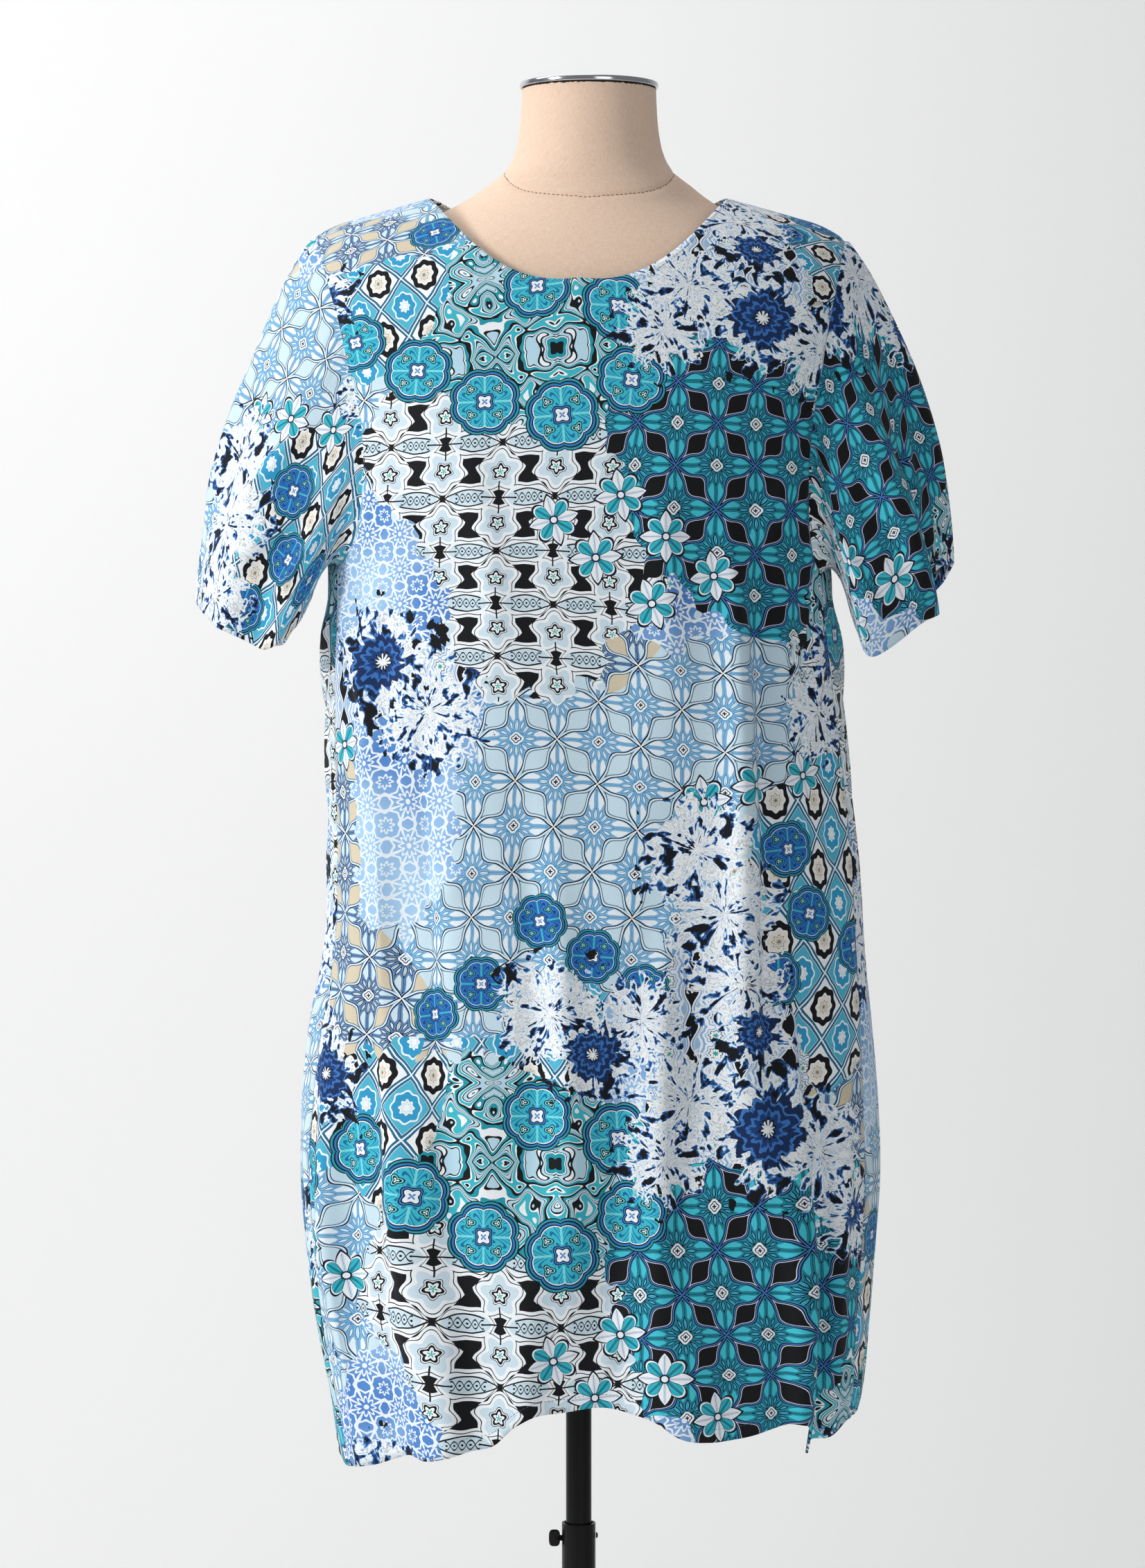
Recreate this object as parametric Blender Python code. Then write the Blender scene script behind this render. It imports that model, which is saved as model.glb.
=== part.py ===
"""A printed mini dress on a limbless dress form with a telescopic pole stand, in metres, +Z up.

The origin is on the pole's axis, at the underside of the base plate. The dress's front faces -Y.
The dress is a wall of cloth cut as a front, a back and two set-in sleeves. Every point of its body
comes from body_surface(turn, level): turn is the angle around the body in degrees, 0 at the front
centre, +90 at the +X side and 180 at the back; level is the height of a horizontal girth, and above
ARCH_LEVEL it runs on over the shoulders as an arch to RIDGE_LEVEL.
"""

import math

import bpy
import numpy as np

# Cloth
WALL = 0.0015  # thickness of the cloth wall
SEAM_GAP = 0.0003  # between two pieces at a seam, and between pieces that touch
FRONT_COLUMNS, BACK_COLUMNS, SHOULDER_COLUMNS = 40, 34, 7
SEAM_ROWS, ARMHOLE_ROWS = 16, 14  # rows of the front and the back along the side seam and the armhole
SLEEVE_ROWS, ROW_GROWTH = 11, 0.55  # a sleeve's rows grow further apart towards its hem
ARMHOLE_SHARE = 0.5  # of the body's direction that a sleeve's second row still has, for an even wall
TOP_FADE, TOP_SOFTENING = 9, 60  # how a panel's inner rows lose the corners of its neckline
TURN_STEP, LEVEL_STEP = 0.5, 0.0015  # small steps in degrees and metres that the surface's directions are read over
FINE_POINTS = 161  # points of a curve before it is shared out evenly
SHARP_ANGLE = 50  # degrees between faces past which an edge is drawn sharp

# Body of the dress: half widths to the -X and +X side, depths to the front and back
BODY = {
    "level": (0.50, 0.545, 0.585, 0.64, 0.695, 0.75, 0.80, 0.86, 0.92, 0.985, 1.06, 1.13, 1.18, 1.25, 1.31, 1.36),
    "left": (0.168, 0.177, 0.185, 0.196, 0.203, 0.207, 0.205, 0.198, 0.188, 0.1855, 0.1875, 0.1875, 0.186, 0.188,
             0.193, 0.201),
    "right": (0.186, 0.199, 0.209, 0.213, 0.217, 0.220, 0.219, 0.217, 0.2135, 0.210, 0.202, 0.193, 0.188, 0.188,
              0.194, 0.203),
    "front": (0.133, 0.133, 0.133, 0.132, 0.131, 0.129, 0.127, 0.125, 0.123, 0.122, 0.123, 0.125, 0.125, 0.121,
              0.113, 0.104),
    "back": (0.140, 0.140, 0.139, 0.138, 0.137, 0.135, 0.133, 0.128, 0.121, 0.115, 0.112, 0.115, 0.118, 0.119,
             0.115, 0.107),
}
ROUND = 0.88  # power on the sine and cosine of a section: 1 is an ellipse, less is boxier
ARCH_LEVEL = 1.36  # where the shoulder arch springs
ARCH_RISE = 0.145  # its height over the body's centre line
ARCH_SPREAD = 0.016  # what the half width still gains up to the ridge
RIDGE_LEVEL = ARCH_LEVEL + ARCH_RISE * math.pi / 2
SHOULDER_SLOPE = 0.28
SHOULDER_END = 0.170  # from here the ridge bends down towards the sleeve
SHOULDER_BEND = 8.0
SLOPE_LEVEL = 1.24  # the slope of the shoulders fades out down to this level
SHOULDER_SEAM_FORWARD = 0.009  # the seam runs this far in front of the ridge

# Largest folds of the body: turn at the top, middle and bottom level, half widths to either side
# along the cloth, and how far the cloth stands out (below 0: a trough)
FOLD_COLUMNS = ("top", "middle", "bottom", "turn_top", "turn_middle", "turn_bottom", "before", "after", "out")
FOLDS = (
    (1.20, 0.93, 0.50, -45, -31, -30, 0.026, 0.020, 0.008),
    (1.16, 0.98, 0.50, -56, -47, -44, 0.018, 0.024, -0.006),
    (1.22, 0.85, 0.50, 35, 34, 36, 0.018, 0.028, 0.009),
    (0.80, 0.64, 0.48, 37, 43, 47, 0.009, 0.026, 0.015),
    (1.18, 0.85, 0.50, 46, 45, 58, 0.022, 0.014, -0.009),
    (0.82, 0.66, 0.50, -60, -59, -58, 0.012, 0.014, 0.009),
    (0.70, 0.60, 0.50, -24, -25, -26, 0.016, 0.009, 0.008),
    (0.78, 0.62, 0.50, -6, -9, -12, 0.020, 0.011, 0.009),
    (0.72, 0.62, 0.50, 4, 6, 7, 0.017, 0.017, -0.008),
    (0.84, 0.66, 0.50, 22, 20, 18, 0.018, 0.026, 0.008),
    (1.15, 0.90, 0.50, 128, 124, 121, 0.026, 0.020, 0.010),
    (1.20, 0.85, 0.50, 146, 143, 141, 0.022, 0.026, -0.009),
    (1.24, 0.88, 0.50, 163, 160, 158, 0.024, 0.030, 0.010),
    (0.98, 0.76, 0.50, 184, 181, 178, 0.026, 0.022, -0.008),
    (1.22, 0.86, 0.50, 204, 202, 203, 0.028, 0.022, 0.010),
    (1.14, 0.84, 0.50, 222, 220, 221, 0.024, 0.022, -0.008),
    (1.16, 0.90, 0.50, 238, 237, 239, 0.020, 0.026, 0.010),
)
FOLD_FADE = 0.44  # share of a fold's height over which its top end dies away
MEAN_RADIUS = 0.170  # of the body's sections: it turns degrees between folds into a distance along the cloth

# Hem: level at each turn, all round
HEM = {
    "turn": (-72, -62, -53, -46, -38, -33, -28, -22, -17, -12, -8, -2, 3, 8, 13, 17, 23, 30, 38, 43, 47, 50, 56, 62,
             68, 76, 90, 110, 135, 160, 180, 200, 225, 250, 270, 288),
    "level": (0.541, 0.546, 0.550, 0.556, 0.561, 0.559, 0.562, 0.567, 0.571, 0.585, 0.592, 0.595, 0.598, 0.594,
              0.588, 0.578, 0.574, 0.575, 0.581, 0.584, 0.578, 0.561, 0.566, 0.566, 0.574, 0.582, 0.570, 0.556,
              0.552, 0.557, 0.560, 0.557, 0.551, 0.546, 0.543, 0.541),
}

# Side seams, a little to the front of the sides, and the points that the armholes run through
SEAM_TURN = {-1: -72.0, 1: 72.0}
UNDERARM_LEVEL = {-1: 1.200, 1: 1.196}
ARMHOLE_FRONT = {
    -1: {"turn": (-72, -64, -57.5, -54, -53.5, -55, -57, -60), "level": (1.200, 1.208, 1.232, 1.270, 1.310, 1.355,
                                                                       1.402, 1.455)},
    1: {"turn": (72, 67, 63.5, 61.5, 60.5, 60, 60.5, 62), "level": (1.196, 1.202, 1.222, 1.262, 1.305, 1.352,
                                                                    1.400, 1.455)},
}
ARMHOLE_BACK = {
    -1: {"turn": (-72, -84, -98, -110, -116, -117, -117, -118), "level": (1.200, 1.204, 1.214, 1.238, 1.285, 1.345,
                                                                        1.402, 1.455)},
    1: {"turn": (72, 84, 98, 110, 116, 117, 117, 118), "level": (1.196, 1.201, 1.212, 1.238, 1.285, 1.345,
                                                                 1.402, 1.455)},
}
SHOULDER_TIP_TURN = 63.0
NECK_POINT_TURN = {-1: -28.0, 1: 27.6}
NECKLINE_FRONT_LEVEL = 1.4085
NECKLINE_BACK_LEVEL = 1.464
NECK_ARC = 80  # the neckline is this much of half an ellipse to either side of its middle

# Sleeves: around each from the shoulder tip (0) over the front (90) and underarm (180) to the back.
# Hem point: out from the pole's axis, forward of it, height. Reach: how far the cloth first runs on
# from the armhole. Rise: the direction that the cloth comes from at the hem.
SLEEVE_COLUMN_NAMES = ("around", "out", "forward", "height", "reach", "rise_in", "rise_forward", "rise_up")
SLEEVES = {
    -1: (
        (0, 0.2845, 0.000, 1.1745, 0.022, 0.010, 0.000, 0.130),
        (35, 0.2740, 0.034, 1.1650, 0.018, 0.012, 0.008, 0.100),
        (70, 0.2540, 0.058, 1.1510, 0.012, 0.018, 0.012, 0.070),
        (100, 0.2290, 0.068, 1.1390, 0.010, 0.020, 0.010, 0.060),
        (130, 0.2080, 0.066, 1.1540, 0.009, 0.012, 0.006, 0.032),
        (160, 0.1960, 0.048, 1.1760, 0.009, 0.004, 0.002, 0.016),
        (190, 0.1985, 0.014, 1.1800, 0.009, 0.002, 0.000, 0.018),
        (220, 0.2080, -0.030, 1.1640, 0.010, 0.008, -0.004, 0.034),
        (255, 0.2300, -0.060, 1.1440, 0.011, 0.018, -0.010, 0.060),
        (290, 0.2540, -0.056, 1.1500, 0.013, 0.016, -0.010, 0.074),
        (328, 0.2750, -0.032, 1.1640, 0.019, 0.012, -0.006, 0.105),
        (360, 0.2845, 0.000, 1.1745, 0.022, 0.010, 0.000, 0.130),
    ),
    1: (
        (0, 0.2795, -0.012, 1.2040, 0.022, 0.004, 0.000, 0.120),
        (22, 0.2640, 0.008, 1.1960, 0.020, 0.008, 0.002, 0.100),
        (40, 0.2590, 0.030, 1.1720, 0.018, 0.010, 0.006, 0.100),
        (70, 0.2500, 0.056, 1.1580, 0.013, 0.014, 0.010, 0.075),
        (100, 0.2140, 0.070, 1.1340, 0.010, 0.014, 0.008, 0.060),
        (130, 0.2030, 0.064, 1.1530, 0.009, 0.008, 0.004, 0.032),
        (160, 0.1970, 0.046, 1.1740, 0.009, 0.003, 0.002, 0.016),
        (190, 0.1995, 0.014, 1.1790, 0.009, 0.002, 0.000, 0.018),
        (220, 0.2080, -0.030, 1.1640, 0.010, 0.008, -0.004, 0.034),
        (255, 0.2290, -0.062, 1.1520, 0.011, 0.016, -0.010, 0.060),
        (290, 0.2520, -0.060, 1.1680, 0.013, 0.014, -0.010, 0.074),
        (328, 0.2720, -0.040, 1.1880, 0.019, 0.008, -0.006, 0.100),
        (360, 0.2795, -0.012, 1.2040, 0.022, 0.004, 0.000, 0.120),
    ),
}
# Sleeve folds: around the sleeve at the armhole end and the hem end, share of the length where the
# fold starts, half widths in degrees around, and how far it stands out
SLEEVE_FOLD_COLUMNS = ("around_start", "around_end", "start", "before", "after", "out")
SLEEVE_FOLDS = {
    -1: (
        (52, 60, 0.25, 12, 16, 0.006),
        (84, 88, 0.30, 13, 10, -0.006),
        (262, 258, 0.20, 14, 14, 0.008),
        (300, 292, 0.30, 14, 12, -0.006),
    ),
    1: (
        (46, 33, 0.30, 7, 10, -0.013),
        (66, 52, 0.25, 12, 14, 0.008),
        (262, 258, 0.20, 14, 14, 0.008),
        (300, 292, 0.30, 14, 12, -0.006),
    ),
}

# Dress form: half width, depths to front and back of its sections, their centre across, and the
# power on the cosine that rounds them: less than 1 is boxier, more is leaner towards the sides
FORM = {
    "level": (0.800, 0.812, 0.87, 0.95, 1.04, 1.11, 1.19, 1.25, 1.31, 1.36, 1.40, 1.425, 1.440, 1.451, 1.460, 1.468,
              1.476, 1.483, 1.490, 1.498, 1.508, 1.522, 1.540, 1.5555),
    "half": (0.135, 0.148, 0.160, 0.155, 0.128, 0.132, 0.150, 0.158, 0.166, 0.172, 0.172, 0.162, 0.147, 0.130, 0.114,
             0.0985, 0.0855, 0.0760, 0.0665, 0.0595, 0.0550, 0.0520, 0.0504, 0.0498),
    "front": (0.088, 0.098, 0.108, 0.104, 0.092, 0.098, 0.115, 0.114, 0.108, 0.099, 0.0925, 0.0855, 0.0790, 0.0725,
              0.0665, 0.0610, 0.0570, 0.0550, 0.0540, 0.0530, 0.0520, 0.0510, 0.0502, 0.0498),
    "back": (0.096, 0.106, 0.118, 0.110, 0.090, 0.092, 0.102, 0.107, 0.105, 0.098, 0.0900, 0.0830, 0.0770, 0.0715,
             0.0665, 0.0620, 0.0590, 0.0580, 0.0565, 0.0550, 0.0535, 0.0515, 0.0502, 0.0498),
    "centre": (0.0, 0.0, 0.0, 0.001, 0.002, 0.003, 0.003, 0.004, 0.004, 0.004, 0.004, 0.004, 0.004, 0.0045, 0.005,
               0.006, 0.0070, 0.0077, 0.0077, 0.0077, 0.0077, 0.0077, 0.0077, 0.0077),
    "round": (0.92, 0.92, 0.92, 0.92, 0.92, 0.92, 0.92, 0.92, 0.92, 0.94, 1.00, 1.10, 1.20, 1.30, 1.30,
              1.30, 1.20, 1.10, 1.00, 1.00, 1.00, 1.00, 1.00, 1.00),
}
FORM_SIDES = 30

# Neck cap
CAP_RADIUS = 0.0515
CAP_BOTTOM, CAP_TOP = 1.5560, 1.5600
CAP_CENTRE = 0.0077
CAP_EDGE = 0.0008

# Stand
BASE_RADIUS, BASE_THICKNESS, BASE_EDGE = 0.180, 0.008, 0.003
TUBE_RADIUS, TUBE_BORE, TUBE_TOP = 0.0125, 0.0108, 0.4905
POLE_RADIUS, POLE_BOTTOM = 0.0095, 0.150
FLANGE_RADIUS, FLANGE_THICKNESS = 0.040, 0.006
CLAMP_HEIGHT = 0.479
CLAMP_SHANK_RADIUS, CLAMP_HOLE_RADIUS, CLAMP_TIP = 0.0022, 0.0026, -0.0099
WING_OUTER, WING_INNER, WING_HALF_HEIGHT, WING_THICKNESS = -0.0222, -0.0138, 0.0062, 0.0036
WING_CORNER, WING_WAIST = 0.45, 0.5  # shares of the wing's half height: its cut corners, and its inner edge
WING_HOLD = 0.003  # how far the shank stops short of the wing's outer edge
RIVET_RADIUS, RIVET_LENGTH, RIVET_HEIGHT = 0.0022, 0.0015, 0.481
ROUND_SIDES, ROD_SIDES = 32, 16
OVERRUN = 0.01  # how far a cutter runs past what it cuts


def material(name: str, colour: tuple, roughness: float, metallic: float = 0.0) -> bpy.types.Material:
    """A Principled material of one colour."""
    made = bpy.data.materials.new(name)
    made.use_nodes = True
    shader = made.node_tree.nodes["Principled BSDF"]
    shader.inputs["Base Color"].default_value = (*colour, 1.0)
    shader.inputs["Roughness"].default_value = roughness
    shader.inputs["Metallic"].default_value = metallic
    return made


def smooth_at(at: np.ndarray, places, values) -> np.ndarray:
    """The smooth curve through (places, values), read at `at`: a cubic Hermite spline whose slope at
    each row is the mean of the slopes to its two neighbours."""
    places, values = np.asarray(places, float), np.asarray(values, float)
    steps = np.diff(places)
    slopes = np.diff(values) / steps
    inner = (slopes[:-1] * steps[1:] + slopes[1:] * steps[:-1]) / (steps[1:] + steps[:-1])
    tangents = np.concatenate([slopes[:1], inner, slopes[-1:]])
    at = np.clip(at, places[0], places[-1])
    row = np.clip(np.searchsorted(places, at, side="right") - 1, 0, len(steps) - 1)
    step = steps[row]
    u = (at - places[row]) / step
    return (
        values[row] * (1 + 2 * u) * (1 - u) ** 2
        + values[row + 1] * u * u * (3 - 2 * u)
        + step * (tangents[row] * u * (1 - u) ** 2 - tangents[row + 1] * u * u * (1 - u))
    )


def smooth_step(low, high, at: np.ndarray) -> np.ndarray:
    """0 below low, 1 above high, and a soft S between them."""
    u = np.clip((at - low) / (high - low), 0, 1)
    return u * u * (3 - 2 * u)


def fold_profile(distance: np.ndarray, before, after) -> np.ndarray:
    """A soft hump of height 1 at distance 0, with its own half width on each side."""
    width = np.where(distance < 0, before, after)
    return np.exp(-((distance / width) ** 2))


def wrapped(turn: np.ndarray) -> np.ndarray:
    """The same angle between -90 and 270, so that the back stays in one run."""
    return (turn + 90) % 360 - 90


def base_section(turn: np.ndarray, level: np.ndarray) -> tuple:
    """x, y and z on the body without its folds. Above ARCH_LEVEL the section shrinks in depth as
    the cosine of the arch's angle while it rises as the sine; the shoulders' slope is taken off z."""
    low = np.minimum(level, ARCH_LEVEL)
    arch = np.clip((level - ARCH_LEVEL) / (RIDGE_LEVEL - ARCH_LEVEL), 0, 1) * math.pi / 2
    sine, cosine = np.sin(np.radians(turn)), np.cos(np.radians(turn))
    left, right, front, back = (smooth_at(low, BODY["level"], BODY[way]) for way in ("left", "right", "front", "back"))
    half = np.where(sine < 0, left, right) + ARCH_SPREAD * np.sin(arch)
    depth = np.where(cosine > 0, front, back)
    x = half * np.sign(sine) * np.abs(sine) ** ROUND
    y = -depth * np.cos(arch) * np.sign(cosine) * np.abs(cosine) ** ROUND
    out = np.abs(x)
    drop = SHOULDER_SLOPE * out + SHOULDER_BEND * np.maximum(out - SHOULDER_END, 0) ** 2
    z = low + ARCH_RISE * np.sin(arch) - drop * smooth_step(SLOPE_LEVEL, RIDGE_LEVEL, level)
    return x, y, z


def fold_height(turn: np.ndarray, level: np.ndarray) -> np.ndarray:
    """How far the folds stand out of the body at this turn and level."""
    out = np.zeros(np.broadcast(turn, level).shape)
    around = wrapped(turn)
    for row in FOLDS:
        fold = dict(zip(FOLD_COLUMNS, row))
        levels = (fold["bottom"], fold["middle"], fold["top"])
        turns = (fold["turn_bottom"], fold["turn_middle"], fold["turn_top"])
        reach = np.radians(around - smooth_at(level, levels, turns)) * MEAN_RADIUS
        fade = 1 - smooth_step(fold["top"] - FOLD_FADE * (fold["top"] - fold["bottom"]), fold["top"], level)
        out = out + fold["out"] * fade * fold_profile(reach, fold["before"], fold["after"])
    return out


def body_surface(turn: np.ndarray, level: np.ndarray) -> np.ndarray:
    """Points on the outside of the body. A level past the ridge is on the other side of it."""
    over = level > RIDGE_LEVEL
    turn = np.where(over, 180 - turn, turn)
    level = np.where(over, 2 * RIDGE_LEVEL - level, level)
    x, y, z = base_section(turn, level)
    ahead = base_section(turn + TURN_STEP, level)
    behind = base_section(turn - TURN_STEP, level)
    dx, dy = ahead[0] - behind[0], ahead[1] - behind[1]
    length = np.hypot(dx, dy) + 1e-9
    out = fold_height(turn, level)
    return np.stack([x + out * dy / length, y - out * dx / length, z], axis=-1)


def body_normal(turn: np.ndarray, level: np.ndarray) -> np.ndarray:
    """The outward unit normal, from the cross product of the steps around and up the surface."""
    around = body_surface(turn + TURN_STEP, level) - body_surface(turn - TURN_STEP, level)
    up = body_surface(turn, level + LEVEL_STEP) - body_surface(turn, level - LEVEL_STEP)
    normal = np.cross(around, up)
    return normal / np.linalg.norm(normal, axis=-1, keepdims=True)


def hem_level(turn: np.ndarray) -> np.ndarray:
    """Level of the hem at a turn between the left seam and 360 degrees further."""
    return smooth_at(np.where(turn < SEAM_TURN[-1], turn + 360, turn), HEM["turn"], HEM["level"])


def seam_level(turn: np.ndarray) -> np.ndarray:
    """Level of the shoulder seam on the front: where the arch is SHOULDER_SEAM_FORWARD in front of the ridge."""
    depth = BODY["front"][-1] * np.abs(np.cos(np.radians(turn))) ** ROUND
    arch = np.arccos(np.clip(SHOULDER_SEAM_FORWARD / depth, 0, 1))
    return ARCH_LEVEL + arch / (math.pi / 2) * (RIDGE_LEVEL - ARCH_LEVEL)


def spread(points: np.ndarray, count: int) -> np.ndarray:
    """`count` + 1 points at even shares of the path's length over the body."""
    steps = np.linalg.norm(np.diff(body_surface(points[:, 0], points[:, 1]), axis=0), axis=1)
    length = np.concatenate([[0], np.cumsum(steps)])
    at = np.linspace(0, length[-1], count + 1)
    return np.stack([np.interp(at, length, points[:, 0]), np.interp(at, length, points[:, 1])], axis=1)


def armhole(side: int, back: bool, count: int) -> np.ndarray:
    """(turn, level) from the underarm to the shoulder tip, over the front or over the back."""
    table = (ARMHOLE_BACK if back else ARMHOLE_FRONT)[side]
    tip_level = float(seam_level(np.array(SHOULDER_TIP_TURN)))
    tip_turn = side * (180 - SHOULDER_TIP_TURN if back else SHOULDER_TIP_TURN)
    turns = (*table["turn"], tip_turn)
    levels = (*table["level"], 2 * RIDGE_LEVEL - tip_level if back else tip_level)
    along = np.linspace(0, len(turns) - 1, FINE_POINTS)
    rows = np.arange(len(turns))
    path = np.stack([smooth_at(along, rows, turns), smooth_at(along, rows, levels)], axis=1)
    return spread(path, count)


def top_edge(back: bool, shoulder: int, neck: int) -> np.ndarray:
    """(turn, level) from the -X shoulder tip along the shoulder seam, the neckline and the other
    shoulder seam. The neckline is the lower arc of an ellipse between the neck points. For the back
    the seams lie past the ridge."""
    centre = (NECK_POINT_TURN[-1] + NECK_POINT_TURN[1]) / 2
    half = (NECK_POINT_TURN[1] - NECK_POINT_TURN[-1]) / 2
    around = np.radians(np.linspace(-NECK_ARC, NECK_ARC, FINE_POINTS))
    end = math.radians(NECK_ARC)
    neck_turn = centre + half * np.sin(around) / math.sin(end)
    dip = (np.cos(around) - math.cos(end)) / (1 - math.cos(end))
    point_level = seam_level(neck_turn)
    left = np.linspace(-SHOULDER_TIP_TURN, NECK_POINT_TURN[-1], FINE_POINTS)
    right = np.linspace(NECK_POINT_TURN[1], SHOULDER_TIP_TURN, FINE_POINTS)
    if back:
        start = 2 * RIDGE_LEVEL - point_level
        neck_level = start + (NECKLINE_BACK_LEVEL - start) * dip
        levels = [2 * RIDGE_LEVEL - seam_level(left), neck_level, 2 * RIDGE_LEVEL - seam_level(right)]
        turns = [180 - left, 180 - neck_turn, 180 - right]
    else:
        neck_level = point_level + (NECKLINE_FRONT_LEVEL - point_level) * dip
        levels = [seam_level(left), neck_level, seam_level(right)]
        turns = [left, neck_turn, right]
    parts = [
        spread(np.stack([turn, level], axis=1), count)
        for turn, level, count in zip(turns, levels, (shoulder, neck, shoulder))
    ]
    return np.concatenate([parts[0], parts[1][1:], parts[2][1:]])


def blended_patch(bottom: np.ndarray, top: np.ndarray, left: np.ndarray, right: np.ndarray) -> np.ndarray:
    """A Coons patch: every inner point blends the four edges, less the part that they count twice.
    The corners of the top edge die away below it as t to the power TOP_FADE, and leave a soft dip."""
    s = np.linspace(0, 1, len(bottom))[None, :, None]
    t = np.linspace(0, 1, len(left))[:, None, None]
    soft = top.copy()
    for _ in range(TOP_SOFTENING):
        soft[1:-1] = (soft[:-2] + 2 * soft[1:-1] + soft[2:]) / 4
    across = (1 - s) * left[:, None] + s * right[:, None]
    upward = (1 - t) * bottom[None] + t * soft[None] + t**TOP_FADE * (top - soft)[None]
    corners = (1 - t) * ((1 - s) * bottom[0] + s * bottom[-1]) + t * ((1 - s) * top[0] + s * top[-1])
    return across + upward - corners


def seam_and_armhole(side: int, back: bool) -> np.ndarray:
    """(turn, level) up the side seam from the hem, then up the armhole to the shoulder tip."""
    seam = SEAM_TURN[side]
    levels = np.linspace(float(hem_level(np.array(seam))), UNDERARM_LEVEL[side], SEAM_ROWS + 1)
    lower = np.stack([np.full(SEAM_ROWS + 1, seam), levels], axis=1)
    return np.concatenate([lower[:-1], armhole(side, back, ARMHOLE_ROWS)])


def panel_domain(back: bool, columns: int) -> np.ndarray:
    """The grid of (turn, level) of the front or the back, hem first."""
    edges = {side: seam_and_armhole(side, back) for side in (-1, 1)}
    top = top_edge(back, SHOULDER_COLUMNS, columns - 2 * SHOULDER_COLUMNS)
    if back:
        start, end = edges[1], edges[-1].copy()
        end[:, 0] += 360
        top = top[::-1]
    else:
        start, end = edges[-1], edges[1]
    turns = np.linspace(start[0, 0], end[0, 0], columns + 1)
    bottom = np.stack([turns, hem_level(turns)], axis=1)
    return blended_patch(bottom, top, start, end)


def inset_seams(points: np.ndarray, distance: float) -> np.ndarray:
    """The grid with its two side edges and its top edge drawn in by a distance, for the gap at seams."""
    drawn = points.copy()
    for edge, inner in (((slice(None), 0), (slice(None), 1)), ((slice(None), -1), (slice(None), -2))):
        way = points[inner] - points[edge]
        drawn[edge] = points[edge] + way / np.linalg.norm(way, axis=-1, keepdims=True) * distance
    way = drawn[-2] - drawn[-1]
    drawn[-1] = drawn[-1] + way / np.linalg.norm(way, axis=-1, keepdims=True) * distance
    return drawn


def mesh_object(name: str, points: np.ndarray, faces: list, finish: bpy.types.Material) -> bpy.types.Object:
    """An object from points and faces, shaded smooth."""
    mesh = bpy.data.meshes.new(name)
    mesh.from_pydata([tuple(map(float, point)) for point in points], [], faces)
    mesh.materials.append(finish)
    mesh.shade_smooth()
    mesh.set_sharp_from_angle(angle=math.radians(SHARP_ANGLE))
    made = bpy.data.objects.new(name, mesh)
    bpy.context.scene.collection.objects.link(made)
    return made


def grid_faces(rows: int, columns: int, closed: bool, start: int, turned: bool) -> list:
    """Quads of a grid with `rows` by `columns` points, joined round when it is closed."""
    faces = []
    for row in range(rows - 1):
        for column in range(columns if closed else columns - 1):
            after = (column + 1) % columns
            quad = (row * columns + column, row * columns + after, (row + 1) * columns + after,
                    (row + 1) * columns + column)
            faces.append(tuple(start + corner for corner in (quad[::-1] if turned else quad)))
    return faces


def wall_faces(rows: int, columns: int, closed: bool) -> list:
    """Faces of a wall: the outer grid, the inner grid turned round, and the rim between them."""
    count = rows * columns
    faces = grid_faces(rows, columns, closed, 0, False) + grid_faces(rows, columns, closed, count, True)
    last = (rows - 1) * columns
    for column in range(columns if closed else columns - 1):
        after = (column + 1) % columns
        faces.append((column, count + column, count + after, after))
        faces.append((last + after, count + last + after, count + last + column, last + column))
    if not closed:
        for row in range(rows - 1):
            low, high = row * columns, (row + 1) * columns
            faces.append((high, count + high, count + low, low))
            low, high = low + columns - 1, high + columns - 1
            faces.append((low, count + low, count + high, high))
    return faces


def panel(name: str, back: bool, columns: int, finish: bpy.types.Material) -> None:
    """The front or the back of the dress, as a wall of cloth."""
    domain = panel_domain(back, columns)
    outer = body_surface(domain[..., 0], domain[..., 1])
    normal = body_normal(domain[..., 0], domain[..., 1])
    outer = inset_seams(outer, SEAM_GAP / 2)
    inner = outer - WALL * normal
    points = np.concatenate([outer.reshape(-1, 3), inner.reshape(-1, 3)])
    mesh_object(name, points, wall_faces(SEAM_ROWS + ARMHOLE_ROWS + 1, columns + 1, False), finish)


def armhole_loop(side: int) -> tuple:
    """Round one armhole from the shoulder tip over the front, the underarm and the back: points,
    normals of the body there, and the directions in which the body's cloth would run on."""
    front = armhole(side, False, ARMHOLE_ROWS)[::-1]
    back = armhole(side, True, ARMHOLE_ROWS)[1:-1]
    points = np.concatenate([body_surface(*front.T), body_surface(*back.T)])
    normals = np.concatenate([body_normal(*front.T), body_normal(*back.T)])
    along = np.roll(points, -1, axis=0) - np.roll(points, 1, axis=0)
    onward = np.cross(along, normals)
    onward /= np.linalg.norm(onward, axis=1, keepdims=True)
    if np.sum(onward * (points.mean(axis=0) - points)) < 0:
        onward = -onward
    return points, normals, onward


def tube_normals(side: int, points: np.ndarray) -> np.ndarray:
    """Outward unit normals of a tube's grid, from the cross product of its steps along and around."""
    around = np.roll(points, -1, axis=1) - np.roll(points, 1, axis=1)
    normals = -side * np.cross(np.gradient(points, axis=0), around)
    return normals / np.linalg.norm(normals, axis=-1, keepdims=True)


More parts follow.
